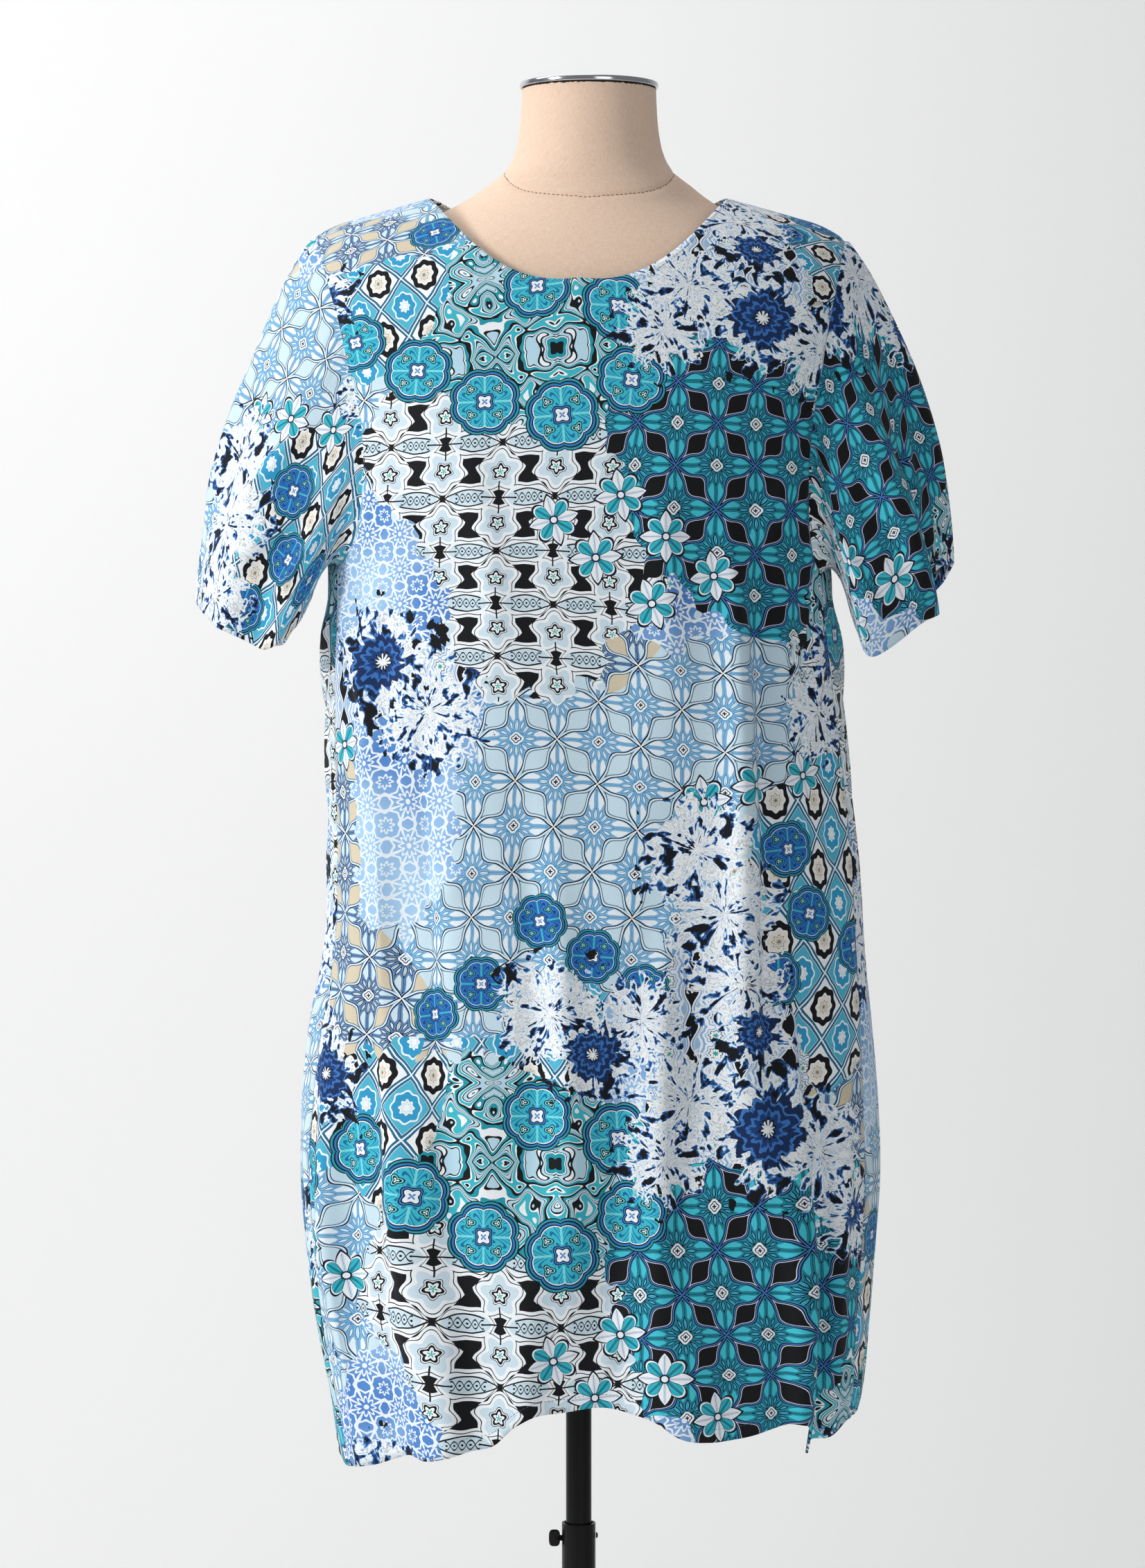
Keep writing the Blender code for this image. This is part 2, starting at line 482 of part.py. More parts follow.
def sleeve_surface(side: int) -> tuple:
    """Grid of points of one sleeve and its outward normals. Each rib is a cubic Bezier curve from the
    armhole, which it leaves in line with the body's cloth, to the sleeve's hem."""
    start, start_normal, onward = armhole_loop(side)
    around = np.arange(len(start)) * 360 / len(start)
    table = {name: [row[at] for row in SLEEVES[side]] for at, name in enumerate(SLEEVE_COLUMN_NAMES)}
    value = {name: smooth_at(around, table["around"], table[name]) for name in SLEEVE_COLUMN_NAMES[1:]}
    start = start + onward * SEAM_GAP / 2
    end = np.stack([side * value["out"], -value["forward"], value["height"]], axis=1)
    rise = np.stack([-side * value["rise_in"], -value["rise_forward"], value["rise_up"]], axis=1)
    second = start + onward * value["reach"][:, None]
    third = end + rise
    share = np.linspace(0, 1, SLEEVE_ROWS + 1)
    share = (share + ROW_GROWTH * share**2) / (1 + ROW_GROWTH)
    t = share[:, None, None]
    points = (1 - t) ** 3 * start + 3 * (1 - t) ** 2 * t * second + 3 * (1 - t) * t * t * third + t**3 * end
    folds = sleeve_fold_height(side, around, share)[..., None]
    points = points + folds * tube_normals(side, points)
    normals = tube_normals(side, points)
    normals[0] = start_normal
    normals[1] = normals[1] + ARMHOLE_SHARE * start_normal
    normals[1] /= np.linalg.norm(normals[1], axis=-1, keepdims=True)
    return points, normals


def sleeve_fold_height(side: int, around: np.ndarray, share: np.ndarray) -> np.ndarray:
    """How far a sleeve's folds stand out, on its grid of share of length by angle around."""
    out = np.zeros((len(share), len(around)))
    for row in SLEEVE_FOLDS[side]:
        fold = dict(zip(SLEEVE_FOLD_COLUMNS, row))
        middle = fold["around_start"] + (fold["around_end"] - fold["around_start"]) * share[:, None]
        distance = (around[None] - middle + 180) % 360 - 180
        grown = smooth_step(fold["start"], 1.0, share)[:, None]
        out = out + fold["out"] * grown * fold_profile(distance, fold["before"], fold["after"])
    return out


def sleeve(name: str, side: int, finish: bpy.types.Material) -> None:
    """One set-in sleeve, a tube of cloth open at the armhole and at its hem."""
    outer, normals = sleeve_surface(side)
    inner = outer - WALL * normals
    points = np.concatenate([outer.reshape(-1, 3), inner.reshape(-1, 3)])
    faces = wall_faces(*outer.shape[:2], True)
    if side < 0:
        faces = [face[::-1] for face in faces]
    mesh_object(name, points, faces, finish)


def capped_loft(name: str, rings: np.ndarray, finish: bpy.types.Material) -> bpy.types.Object:
    """A closed solid through rings of points that run anticlockwise seen from above, lowest first."""
    rows, columns = rings.shape[:2]
    faces = grid_faces(rows, columns, True, 0, False)
    faces.append(tuple(range(columns))[::-1])
    faces.append(tuple((rows - 1) * columns + column for column in range(columns)))
    return mesh_object(name, rings.reshape(-1, 3), faces, finish)


def dress_form(finish: bpy.types.Material) -> None:
    """The padded torso of the form: closed, smooth, and clear of the cloth all over. Each section is a
    superellipse with its own half width, its depths to the front and back, and its centre across."""
    turn = np.radians(np.arange(FORM_SIDES) * 360 / FORM_SIDES)
    sine, cosine = np.sin(turn), np.cos(turn)
    half, front, back, centre, power, level = (
        np.array(FORM[key])[:, None] for key in ("half", "front", "back", "centre", "round", "level")
    )
    depth = np.where(cosine > 0, front, back)
    x = centre + half * np.sign(sine) * np.abs(sine) ** np.minimum(power, 1)
    y = -depth * np.sign(cosine) * np.abs(cosine) ** power
    capped_loft("dress_form", np.stack([x, y, np.broadcast_to(level, x.shape)], axis=-1), finish)


def turned_solid(name: str, profile: tuple, finish: bpy.types.Material, centre: float = 0.0) -> bpy.types.Object:
    """A solid of revolution about an upright axis from (radius, height) rows, lowest first."""
    angle = np.arange(ROUND_SIDES) * 2 * math.pi / ROUND_SIDES
    rings = np.stack(
        [
            np.stack([centre + radius * np.cos(angle), radius * np.sin(angle), np.full(ROUND_SIDES, height)], axis=-1)
            for radius, height in profile
        ]
    )
    return capped_loft(name, rings, finish)


def rod_along_x(
    name: str, start: float, end: float, radius: float, height: float, finish: bpy.types.Material
) -> bpy.types.Object:
    """A solid round rod along X."""
    bpy.ops.mesh.primitive_cylinder_add(
        vertices=ROD_SIDES, radius=radius, depth=abs(end - start), location=((start + end) / 2, 0, height),
        rotation=(0, math.pi / 2, 0),
    )
    made = bpy.context.object
    made.name = made.data.name = name
    made.data.materials.append(finish)
    return made


def applied(changed: bpy.types.Object, operation: str, other: bpy.types.Object) -> None:
    """Joins or cuts an object with another one for good, and removes the other."""
    step = changed.modifiers.new(operation.title(), "BOOLEAN")
    step.operation, step.object = operation, other
    bpy.context.view_layer.objects.active = changed
    bpy.ops.object.modifier_apply(modifier=step.name)
    bpy.data.objects.remove(other, do_unlink=True)


def lower_tube(finish: bpy.types.Material) -> None:
    """The outer tube of the stand, with the hole of the clamp screw in its -X side."""
    bottom = BASE_THICKNESS + SEAM_GAP
    tube = turned_solid("lower_tube", ((TUBE_RADIUS, bottom), (TUBE_RADIUS, TUBE_TOP)), finish)
    bore = turned_solid("bore", ((TUBE_BORE, bottom - OVERRUN), (TUBE_BORE, TUBE_TOP + OVERRUN)), finish)
    applied(tube, "DIFFERENCE", bore)
    hole = rod_along_x("hole", -TUBE_RADIUS - OVERRUN, -OVERRUN / 2, CLAMP_HOLE_RADIUS, CLAMP_HEIGHT, finish)
    applied(tube, "DIFFERENCE", hole)


def clamp_screw(finish: bpy.types.Material) -> None:
    """The thumb screw that holds the pole: a shank and a flat wing with cut corners, on its own axis."""
    shank = rod_along_x("clamp_screw", WING_OUTER + WING_HOLD, CLAMP_TIP, CLAMP_SHANK_RADIUS, CLAMP_HEIGHT, finish)
    corner = WING_HALF_HEIGHT * WING_CORNER
    waist = WING_HALF_HEIGHT * WING_WAIST
    outline = (
        (WING_INNER, -waist), (WING_INNER, waist),
        (WING_INNER - corner, WING_HALF_HEIGHT), (WING_OUTER + corner, WING_HALF_HEIGHT),
        (WING_OUTER, WING_HALF_HEIGHT - corner), (WING_OUTER, -WING_HALF_HEIGHT + corner),
        (WING_OUTER + corner, -WING_HALF_HEIGHT), (WING_INNER - corner, -WING_HALF_HEIGHT),
    )
    faces_at = (WING_THICKNESS / 2, -WING_THICKNESS / 2)
    sides = np.array([[(x, y, CLAMP_HEIGHT + z) for x, z in outline] for y in faces_at])
    count = len(outline)
    faces = grid_faces(2, count, True, 0, True) + [tuple(range(count)), tuple(range(count, 2 * count))[::-1]]
    wing = mesh_object("wing", sides.reshape(-1, 3), faces, finish)
    applied(shank, "UNION", wing)


def stand(paint: bpy.types.Material, screw_paint: bpy.types.Material) -> None:
    """Base plate, outer tube, clamp screw, the rivet opposite, inner pole and the flange that carries the form."""
    turned_solid(
        "base_plate",
        ((BASE_RADIUS, 0.0), (BASE_RADIUS, BASE_THICKNESS - BASE_EDGE), (BASE_RADIUS - BASE_EDGE, BASE_THICKNESS)),
        paint,
    )
    lower_tube(paint)
    clamp_screw(screw_paint)
    start = TUBE_RADIUS + SEAM_GAP
    rod_along_x("tube_rivet", start, start + RIVET_LENGTH, RIVET_RADIUS, RIVET_HEIGHT, screw_paint)
    form_bottom = FORM["level"][0]
    flange_bottom = form_bottom - SEAM_GAP - FLANGE_THICKNESS
    turned_solid("pole", ((POLE_RADIUS, POLE_BOTTOM), (POLE_RADIUS, flange_bottom - SEAM_GAP)), paint)
    turned_solid(
        "form_flange", ((FLANGE_RADIUS, flange_bottom), (FLANGE_RADIUS, flange_bottom + FLANGE_THICKNESS)), paint
    )


def neck_cap(finish: bpy.types.Material) -> None:
    """The flat metal plate on the form's neck."""
    turned_solid(
        "neck_cap",
        (
            (CAP_RADIUS - CAP_EDGE, CAP_BOTTOM), (CAP_RADIUS, CAP_BOTTOM + CAP_EDGE),
            (CAP_RADIUS, CAP_TOP - CAP_EDGE), (CAP_RADIUS - CAP_EDGE, CAP_TOP),
        ),
        finish,
        CAP_CENTRE,
    )


def main() -> None:
    """Builds every piece."""
    for old in list(bpy.data.objects):
        bpy.data.objects.remove(old, do_unlink=True)
    cloth = material("printed_cloth", (0.32, 0.55, 0.66), 0.75)
    linen = material("linen_cover", (0.72, 0.58, 0.44), 0.9)
    chrome = material("chrome_plate", (0.80, 0.80, 0.82), 0.12, 1.0)
    paint = material("black_paint", (0.015, 0.015, 0.017), 0.38)
    screw_paint = material("black_screw", (0.02, 0.02, 0.02), 0.45)
    panel("dress_front", False, FRONT_COLUMNS, cloth)
    panel("dress_back", True, BACK_COLUMNS, cloth)
    sleeve("sleeve_left", -1, cloth)
    sleeve("sleeve_right", 1, cloth)
    dress_form(linen)
    neck_cap(chrome)
    stand(paint, screw_paint)


main()
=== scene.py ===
"""The looks of a printed mini dress on a linen-covered dress form that stands on a telescopic pole.

The cloth follows the same surface as the solids: DressShape.surface(turn, level), where turn is the angle
round the body in degrees (0 at the front centre, +90 at the +X side, 180 at the back) and level is the
height of a girth, which runs on over the shoulders as an arch. The creases, puckers, turned edges,
stitches and the print are added here. Lengths are metres, but for the tables that say millimetres.
"""

from __future__ import annotations

import logging
import math
from collections.abc import Callable
from dataclasses import dataclass
from enum import Enum

import bpy
import numpy as np
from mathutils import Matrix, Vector


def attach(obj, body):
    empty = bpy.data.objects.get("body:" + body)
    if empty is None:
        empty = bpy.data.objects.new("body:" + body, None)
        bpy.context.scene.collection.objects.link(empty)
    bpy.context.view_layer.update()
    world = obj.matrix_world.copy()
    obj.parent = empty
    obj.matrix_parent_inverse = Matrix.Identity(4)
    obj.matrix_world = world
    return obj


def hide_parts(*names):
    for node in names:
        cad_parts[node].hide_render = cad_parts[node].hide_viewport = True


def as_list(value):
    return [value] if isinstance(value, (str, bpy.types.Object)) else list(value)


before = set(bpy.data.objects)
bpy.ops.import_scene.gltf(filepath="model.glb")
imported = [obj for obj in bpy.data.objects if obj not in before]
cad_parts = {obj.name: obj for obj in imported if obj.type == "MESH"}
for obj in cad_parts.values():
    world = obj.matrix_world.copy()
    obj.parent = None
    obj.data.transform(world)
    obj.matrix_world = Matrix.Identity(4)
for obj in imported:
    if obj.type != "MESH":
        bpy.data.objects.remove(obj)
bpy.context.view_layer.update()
LOG = logging.getLogger("mini_dress")
Array = np.ndarray
Colour = tuple
Material, Node, Object, Socket = bpy.types.Material, bpy.types.Node, bpy.types.Object, bpy.types.NodeSocket
PER_METRE = 1000  # for the tables in millimetres

# The dress's surface, as in the solids
BODY = {
    "level": (0.50, 0.545, 0.585, 0.64, 0.695, 0.75, 0.80, 0.86, 0.92, 0.985, 1.06, 1.13, 1.18, 1.25,
              1.31, 1.36),
    "left": (0.168, 0.177, 0.185, 0.196, 0.203, 0.207, 0.205, 0.198, 0.188, 0.1855, 0.1875, 0.1875, 0.186,
             0.188, 0.193, 0.201),
    "right": (0.186, 0.199, 0.209, 0.213, 0.217, 0.220, 0.219, 0.217, 0.2135, 0.210, 0.202, 0.193, 0.188,
              0.188, 0.194, 0.203),
    "front": (0.133, 0.133, 0.133, 0.132, 0.131, 0.129, 0.127, 0.125, 0.123, 0.122, 0.123, 0.125, 0.125,
              0.121, 0.113, 0.104),
    "back": (0.140, 0.140, 0.139, 0.138, 0.137, 0.135, 0.133, 0.128, 0.121, 0.115, 0.112, 0.115, 0.118,
             0.119, 0.115, 0.107),
}
ROUND = 0.88  # power on the sine and cosine of a section: 1 is an ellipse, less is boxier
ARCH_LEVEL = 1.36  # where the shoulder arch springs
ARCH_RISE, ARCH_SPREAD = 0.145, 0.016  # its height, and what the half width gains up to the ridge
RIDGE_LEVEL = ARCH_LEVEL + ARCH_RISE * math.pi / 2
SHOULDER_SLOPE, SHOULDER_END, SHOULDER_BEND = 0.28, 0.170, 8.0
SLOPE_LEVEL = 1.24  # the slope of the shoulders fades out down to this level
SHOULDER_SEAM_FORWARD = 0.009  # the seam runs this far in front of the ridge
SHOULDER_SHARE = {False: 7 / 40, True: 7 / 34}  # of a panel's columns, for the front and the back
MEAN_RADIUS = 0.170  # turns degrees between folds into a distance along the cloth
FOLD_FADE = 0.44  # share of a fold's height over which its top end dies away
# Large folds: levels of the top, middle and bottom, turns there, half widths before and after the line,
# and how far it stands out (below 0: a trough)
FOLDS = (
    (1.20, 0.93, 0.50, -45, -31, -30, 0.026, 0.020, 0.008),
    (1.16, 0.98, 0.50, -56, -47, -44, 0.018, 0.024, -0.006),
    (1.22, 0.85, 0.50, 35, 34, 36, 0.018, 0.028, 0.009),
    (0.80, 0.64, 0.48, 37, 43, 47, 0.009, 0.026, 0.015),
    (1.18, 0.85, 0.50, 46, 45, 58, 0.022, 0.014, -0.009),
    (0.82, 0.66, 0.50, -60, -59, -58, 0.012, 0.014, 0.009),
    (0.70, 0.60, 0.50, -24, -25, -26, 0.016, 0.009, 0.008),
    (0.78, 0.62, 0.50, -6, -9, -12, 0.020, 0.011, 0.009),
    (0.72, 0.62, 0.50, 4, 6, 7, 0.017, 0.017, -0.008),
    (0.84, 0.66, 0.50, 22, 20, 18, 0.018, 0.026, 0.008),
    (1.15, 0.90, 0.50, 128, 124, 121, 0.026, 0.020, 0.010),
    (1.20, 0.85, 0.50, 146, 143, 141, 0.022, 0.026, -0.009),
    (1.24, 0.88, 0.50, 163, 160, 158, 0.024, 0.030, 0.010),
    (0.98, 0.76, 0.50, 184, 181, 178, 0.026, 0.022, -0.008),
    (1.22, 0.86, 0.50, 204, 202, 203, 0.028, 0.022, 0.010),
    (1.14, 0.84, 0.50, 222, 220, 221, 0.024, 0.022, -0.008),
    (1.16, 0.90, 0.50, 238, 237, 239, 0.020, 0.026, 0.010),
)
HEM = {
    "turn": (-72, -62, -53, -46, -38, -33, -28, -22, -17, -12, -8, -2, 3, 8, 13, 17, 23, 30, 38, 43, 47,
             50, 56, 62, 68, 76, 90, 110, 135, 160, 180, 200, 225, 250, 270, 288),
    "level": (0.541, 0.546, 0.550, 0.556, 0.561, 0.559, 0.562, 0.567, 0.571, 0.585, 0.592, 0.595, 0.598,
              0.594, 0.588, 0.578, 0.574, 0.575, 0.581, 0.584, 0.578, 0.561, 0.566, 0.566, 0.574, 0.582,
              0.570, 0.556, 0.552, 0.557, 0.560, 0.557, 0.551, 0.546, 0.543, 0.541),
}
SEAM_TURN = {-1: -72.0, 1: 72.0}
UNDERARM_LEVEL = {-1: 1.200, 1: 1.196}
# Armholes from the underarm up, turns and levels, on the -X side and on the +X side
ARMHOLE_FRONT = {
    -1: ((-72, -64, -57.5, -54, -53.5, -55, -57, -60),
         (1.200, 1.208, 1.232, 1.270, 1.310, 1.355, 1.402, 1.455)),
    1: ((72, 67, 63.5, 61.5, 60.5, 60, 60.5, 62),
        (1.196, 1.202, 1.222, 1.262, 1.305, 1.352, 1.400, 1.455)),
}
ARMHOLE_BACK = {
    -1: ((-72, -84, -98, -110, -116, -117, -117, -118),
         (1.200, 1.204, 1.214, 1.238, 1.285, 1.345, 1.402, 1.455)),
    1: ((72, 84, 98, 110, 116, 117, 117, 118),
        (1.196, 1.201, 1.212, 1.238, 1.285, 1.345, 1.402, 1.455)),
}
SHOULDER_TIP_TURN = 63.0
NECK_POINT_TURN = {-1: -28.0, 1: 27.6}
NECKLINE_LEVEL = {False: 1.4085, True: 1.464}  # its lowest point, on the front and on the back
NECK_ARC = 80  # the neckline is this much of half an ellipse to either side of its middle
EDGE_POINTS = 401  # points of an edge before it is divided evenly
TURN_STEP, LEVEL_STEP = 0.5, 0.0015  # to either side, for the surface's slopes
GIRTH_POINTS = 25
RELAX_PASSES = 120  # each moves a panel grid's inner points to the middle of their neighbours
TOP_FADE = 9  # how fast a panel's inner rows lose the corners of its neckline
TOP_SOFTENING = 60 / 40**2  # passes that soften that edge, for each square of its number of columns
# Sleeves' hems: degrees around from the shoulder over the front, then in millimetres the distance out,
# forward and up, the reach of a rib's start, and its rise at the hem inwards, forwards and up
SLEEVES = {
    -1: (
        (0, 284.5, 0, 1174.5, 22, 10, 0, 130), (35, 274, 34, 1165, 18, 12, 8, 100),
        (70, 254, 58, 1151, 12, 18, 12, 70), (100, 229, 68, 1139, 10, 20, 10, 60),
        (130, 208, 66, 1154, 9, 12, 6, 32), (160, 196, 48, 1176, 9, 4, 2, 16),
        (190, 198.5, 14, 1180, 9, 2, 0, 18), (220, 208, -30, 1164, 10, 8, -4, 34),
        (255, 230, -60, 1144, 11, 18, -10, 60), (290, 254, -56, 1150, 13, 16, -10, 74),
        (328, 275, -32, 1164, 19, 12, -6, 105), (360, 284.5, 0, 1174.5, 22, 10, 0, 130),
    ),
    1: (
        (0, 279.5, -12, 1204, 22, 4, 0, 120), (22, 264, 8, 1196, 20, 8, 2, 100),
        (40, 259, 30, 1172, 18, 10, 6, 100), (70, 250, 56, 1158, 13, 14, 10, 75),
        (100, 214, 70, 1134, 10, 14, 8, 60), (130, 203, 64, 1153, 9, 8, 4, 32),
        (160, 197, 46, 1174, 9, 3, 2, 16), (190, 199.5, 14, 1179, 9, 2, 0, 18),
        (220, 208, -30, 1164, 10, 8, -4, 34), (255, 229, -62, 1152, 11, 16, -10, 60),
        (290, 252, -60, 1168, 13, 14, -10, 74), (328, 272, -40, 1188, 19, 8, -6, 100),
        (360, 279.5, -12, 1204, 22, 4, 0, 120),
    ),
}
ROW_GROWTH = 0.55  # a sleeve's rows grow further apart towards its hem
# Sleeves' large folds: degrees around at the armhole and at the hem, share of the length where it starts,
# half widths in degrees before and after the line, and how far it stands out
SLEEVE_FOLDS = {
    -1: (
        (52, 60, 0.25, 12, 16, 0.006),
        (84, 88, 0.30, 13, 10, -0.006),
        (262, 258, 0.20, 14, 14, 0.008),
        (300, 292, 0.30, 14, 12, -0.006),
    ),
    1: (
        (46, 33, 0.30, 7, 10, -0.013),
        (66, 52, 0.25, 12, 14, 0.008),
        (262, 258, 0.20, 14, 14, 0.008),
        (300, 292, 0.30, 14, 12, -0.006),
    ),
}

# Creases in millimetres, placed on the flat cloth: from (across, up) to (across, up), how far the
# line bows to its left, its half width, and how far it stands out (below 0: a trough)
FRONT_CREASES = (
    (-160, 1200, -156, 1000, -6, 12, 6.6), (-152, 1090, -104, 570, -12, 12, 8.4),
    (-118, 1130, -72, 590, -8, 13, -6.9), (110, 1250, 116, 780, 4, 10, 8.2),
    (132, 1235, 140, 760, 4, 9, -6.3), (158, 880, 162, 560, 3, 9, 7.1), (184, 860, 190, 565, 3, 9, -6.6),
    (66, 980, 60, 590, -5, 12, 6.9), (30, 930, 22, 610, 4, 13, -5.3), (-44, 1070, -34, 720, 6, 12, -4.8),
    (-18, 990, -8, 630, 4, 11, 5.3), (-212, 930, -202, 555, 4, 10, 6.1), (-184, 860, -172, 570, 3, 9, -5.3),
    (226, 960, 234, 575, 3, 10, 5.3), (246, 900, 254, 620, 3, 8, -3.4),
    (-240, 1215, -150, 1085, 8, 10, 6.3), (-255, 1170, -172, 980, -6, 10, -5.5),
    (-265, 1120, -200, 900, 6, 9, 4.1), (-185, 1300, -112, 1200, 6, 8, 3.1),
    (245, 1205, 172, 1070, -8, 10, 6.3), (262, 1160, 192, 960, 6, 10, -5.5),
    (270, 1100, 215, 880, -6, 9, 4.1), (190, 1295, 118, 1190, -6, 8, 3.6),
    (-85, 1300, -60, 1120, 6, 12, 2.6), (62, 1290, 70, 1100, -5, 12, 2.6), (40, 680, 6, 606, 3, 6, 2.6),
    (-170, 700, -120, 640, 4, 7, 2.6), (60, 950, 150, 905, 8, 9, 2.4), (-30, 995, -120, 950, -8, 9, 2.4),
)
BACK_CREASES = (
    (-290, 1180, -170, 1020, 8, 12, 4.6), (290, 1185, 180, 1030, -8, 12, 4.6),
    (-300, 1120, -210, 940, -6, 11, -3.6), (300, 1120, 215, 950, 6, 11, -3.6),
    (-90, 1250, -70, 840, 5, 13, 5.4), (-62, 1200, -40, 800, 5, 12, -4.2),
    (60, 1230, 70, 840, -5, 13, -4.6), (88, 1180, 96, 700, -4, 11, 4.6), (150, 1120, 160, 700, 5, 11, 5.4),
    (178, 1060, 188, 660, 4, 10, -4.2), (-165, 1080, -180, 680, 4, 11, -4.8),
    (-20, 930, -12, 580, 3, 11, 4.8), (20, 860, 26, 580, 3, 10, -3.6), (124, 820, 130, 580, 3, 9, 3.6),
    (-118, 820, -130, 580, -3, 9, 4.4), (240, 880, 248, 580, 3, 9, 4), (-245, 880, -250, 580, 3, 9, 4.4),
    (-140, 1400, -80, 1330, 4, 9, 1.4), (140, 1395, 85, 1325, -4, 9, 1.4), (30, 740, -30, 690, 4, 8, 2.2),
)
SLEEVE_CREASES = {
    -1: (
        (60, 50, 105, 170, 6, 9, 3.6), (85, 30, 150, 130, -4, 7, -3), (120, 20, 165, 95, 3, 6, 2.4),
        (30, 40, 45, 190, 4, 11, -3), (4, 60, 12, 200, 4, 10, 3.4), (20, 120, 90, 160, 4, 7, 1.6),
        (290, 50, 270, 150, 5, 10, 3.6), (330, 40, 318, 180, -5, 10, -3), (250, 30, 235, 110, 3, 7, 2.4),
    ),
    1: (
        (70, 60, 60, 180, 4, 8, 3.6), (100, 30, 120, 150, -4, 8, -3), (130, 20, 160, 100, 3, 6, 2.4),
        (25, 50, 30, 190, 4, 10, -2.8), (45, 40, 46, 120, 3, 7, 2.4), (95, 140, 30, 120, 4, 7, 1.6),
        (290, 50, 270, 150, 5, 10, 3.6), (330, 40, 318, 180, -5, 10, -3), (250, 30, 235, 110, 3, 7, 2.4),
    ),
}
CREASE_START, CREASE_END = (-0.05, 0.28), (0.66, 1.05)  # a crease grows and dies over these shares of it
DENT_PLACE, DENT_BEFORE, DENT_AFTER, DENT_DEPTH = 1.9, 1.2, 1.6, 0.45  # beside it, in its widths and heights
# Slow unevenness of hanging cloth, as waves: radians per metre across and up, start, and height
SWELL = ((41, 9, 0.4, 0.0016), (-27, 14, 2.1, 0.0013), (66, -11, 4.0, 0.0010), (17, 33, 5.3, 0.0006),
         (-93, 17, 1.2, 0.0005))
SWELL_LEVELS, SWELL_SHARES = (0.54, 0.80, 1.10, 1.25, 1.45), (1.15, 1.0, 0.8, 0.35, 0.2)  # it grows downwards


def smooth_at(at: Array, places: tuple, values: tuple) -> Array:
    """Reads the smooth curve through rows of a table.

    The curve is a cubic Hermite spline whose slope at each row is the mean of its two neighbours'.

    Args:
        at: where to read it.
        places: rising positions of the rows.
        values: the rows' values.

    Returns:
        The curve's value at each place.
    """
    places, values = np.asarray(places, float), np.asarray(values, float)
    steps = np.diff(places)
    slopes = np.diff(values) / steps
    inner = (slopes[:-1] * steps[1:] + slopes[1:] * steps[:-1]) / (steps[1:] + steps[:-1])
    tangents = np.concatenate([slopes[:1], inner, slopes[-1:]])
    at = np.clip(at, places[0], places[-1])
    row = np.clip(np.searchsorted(places, at, side="right") - 1, 0, len(steps) - 1)
    step = steps[row]
    u = (at - places[row]) / step
    return (
        values[row] * (1 + 2 * u) * (1 - u) ** 2
        + values[row + 1] * u * u * (3 - 2 * u)
        + step * (tangents[row] * u * (1 - u) ** 2 - tangents[row + 1] * u * u * (1 - u))
    )


def smooth_step(low: float, high: float, at: Array) -> Array:
    """0 below low, 1 above high, and a soft S between them."""
    u = np.clip((at - low) / (high - low), 0, 1)
    return u * u * (3 - 2 * u)


def hump(distance: Array, before: float, after: float) -> Array:
    """A soft hump of height 1 at distance 0: exp(-(d / w)^2), with its own half width on each side."""
    width = np.where(distance < 0, before, after)
    return np.exp(-((distance / width) ** 2))


def unit(vectors: Array) -> Array:
    """Vectors scaled to length 1."""
    return vectors / np.maximum(np.linalg.norm(vectors, axis=-1, keepdims=True), 1e-12)


def grid_normals(points: Array, closed: bool, turned: bool = False) -> Array:
    """Unit normals of a grid: the cross product of its steps along the columns and along the rows.

    Args:
        points: (rows, columns, 3).
        closed: True if the last column joins the first.
        turned: True to point them the other way.

    Returns:
        (rows, columns, 3).
    """
    if closed:
        around = np.roll(points, -1, axis=1) - np.roll(points, 1, axis=1)
    else:
        around = np.gradient(points, axis=1)
    normals = unit(np.cross(around, np.gradient(points, axis=0)))
    return -normals if turned else normals


def crease_height(across: Array, up: Array, creases: tuple) -> Array:
    """How far the listed creases stand out of the flat cloth.

    Each crease is a line from one point to another that bows sideways as the sine of its length. Its
    section is a hump with a shallower dent on one side, and it dies away at both ends.

    Args:
        across: distance across the flat cloth.
        up: distance up it.
        creases: rows of one of the tables above.

    Returns:
        Heights, of the shape of across.
    """
    out = np.zeros(np.shape(across))
    for from_across, from_up, to_across, to_up, bow, width, height in np.array(creases) / PER_METRE:
        run_across, run_up = to_across - from_across, to_up - from_up
        length = np.hypot(run_across, run_up)
        along = ((across - from_across) * run_across + (up - from_up) * run_up) / length**2
        side = ((up - from_up) * run_across - (across - from_across) * run_up) / length
        side = side - bow * np.sin(math.pi * np.clip(along, 0, 1))
        ends = smooth_step(*CREASE_START, along) * (1 - smooth_step(*CREASE_END, along))
        dent = hump(side - DENT_PLACE * width, width * DENT_BEFORE, width * DENT_AFTER)
        out = out + height * ends * (hump(side, width, width) - DENT_DEPTH * dent)
    return out


def swell_height(across: Array, up: Array) -> Array:
    """Slow unevenness: a sum of a few long waves over the flat cloth."""
    return sum(height * np.sin(wave_across * across + wave_up * up + start)
               for wave_across, wave_up, start, height in SWELL)


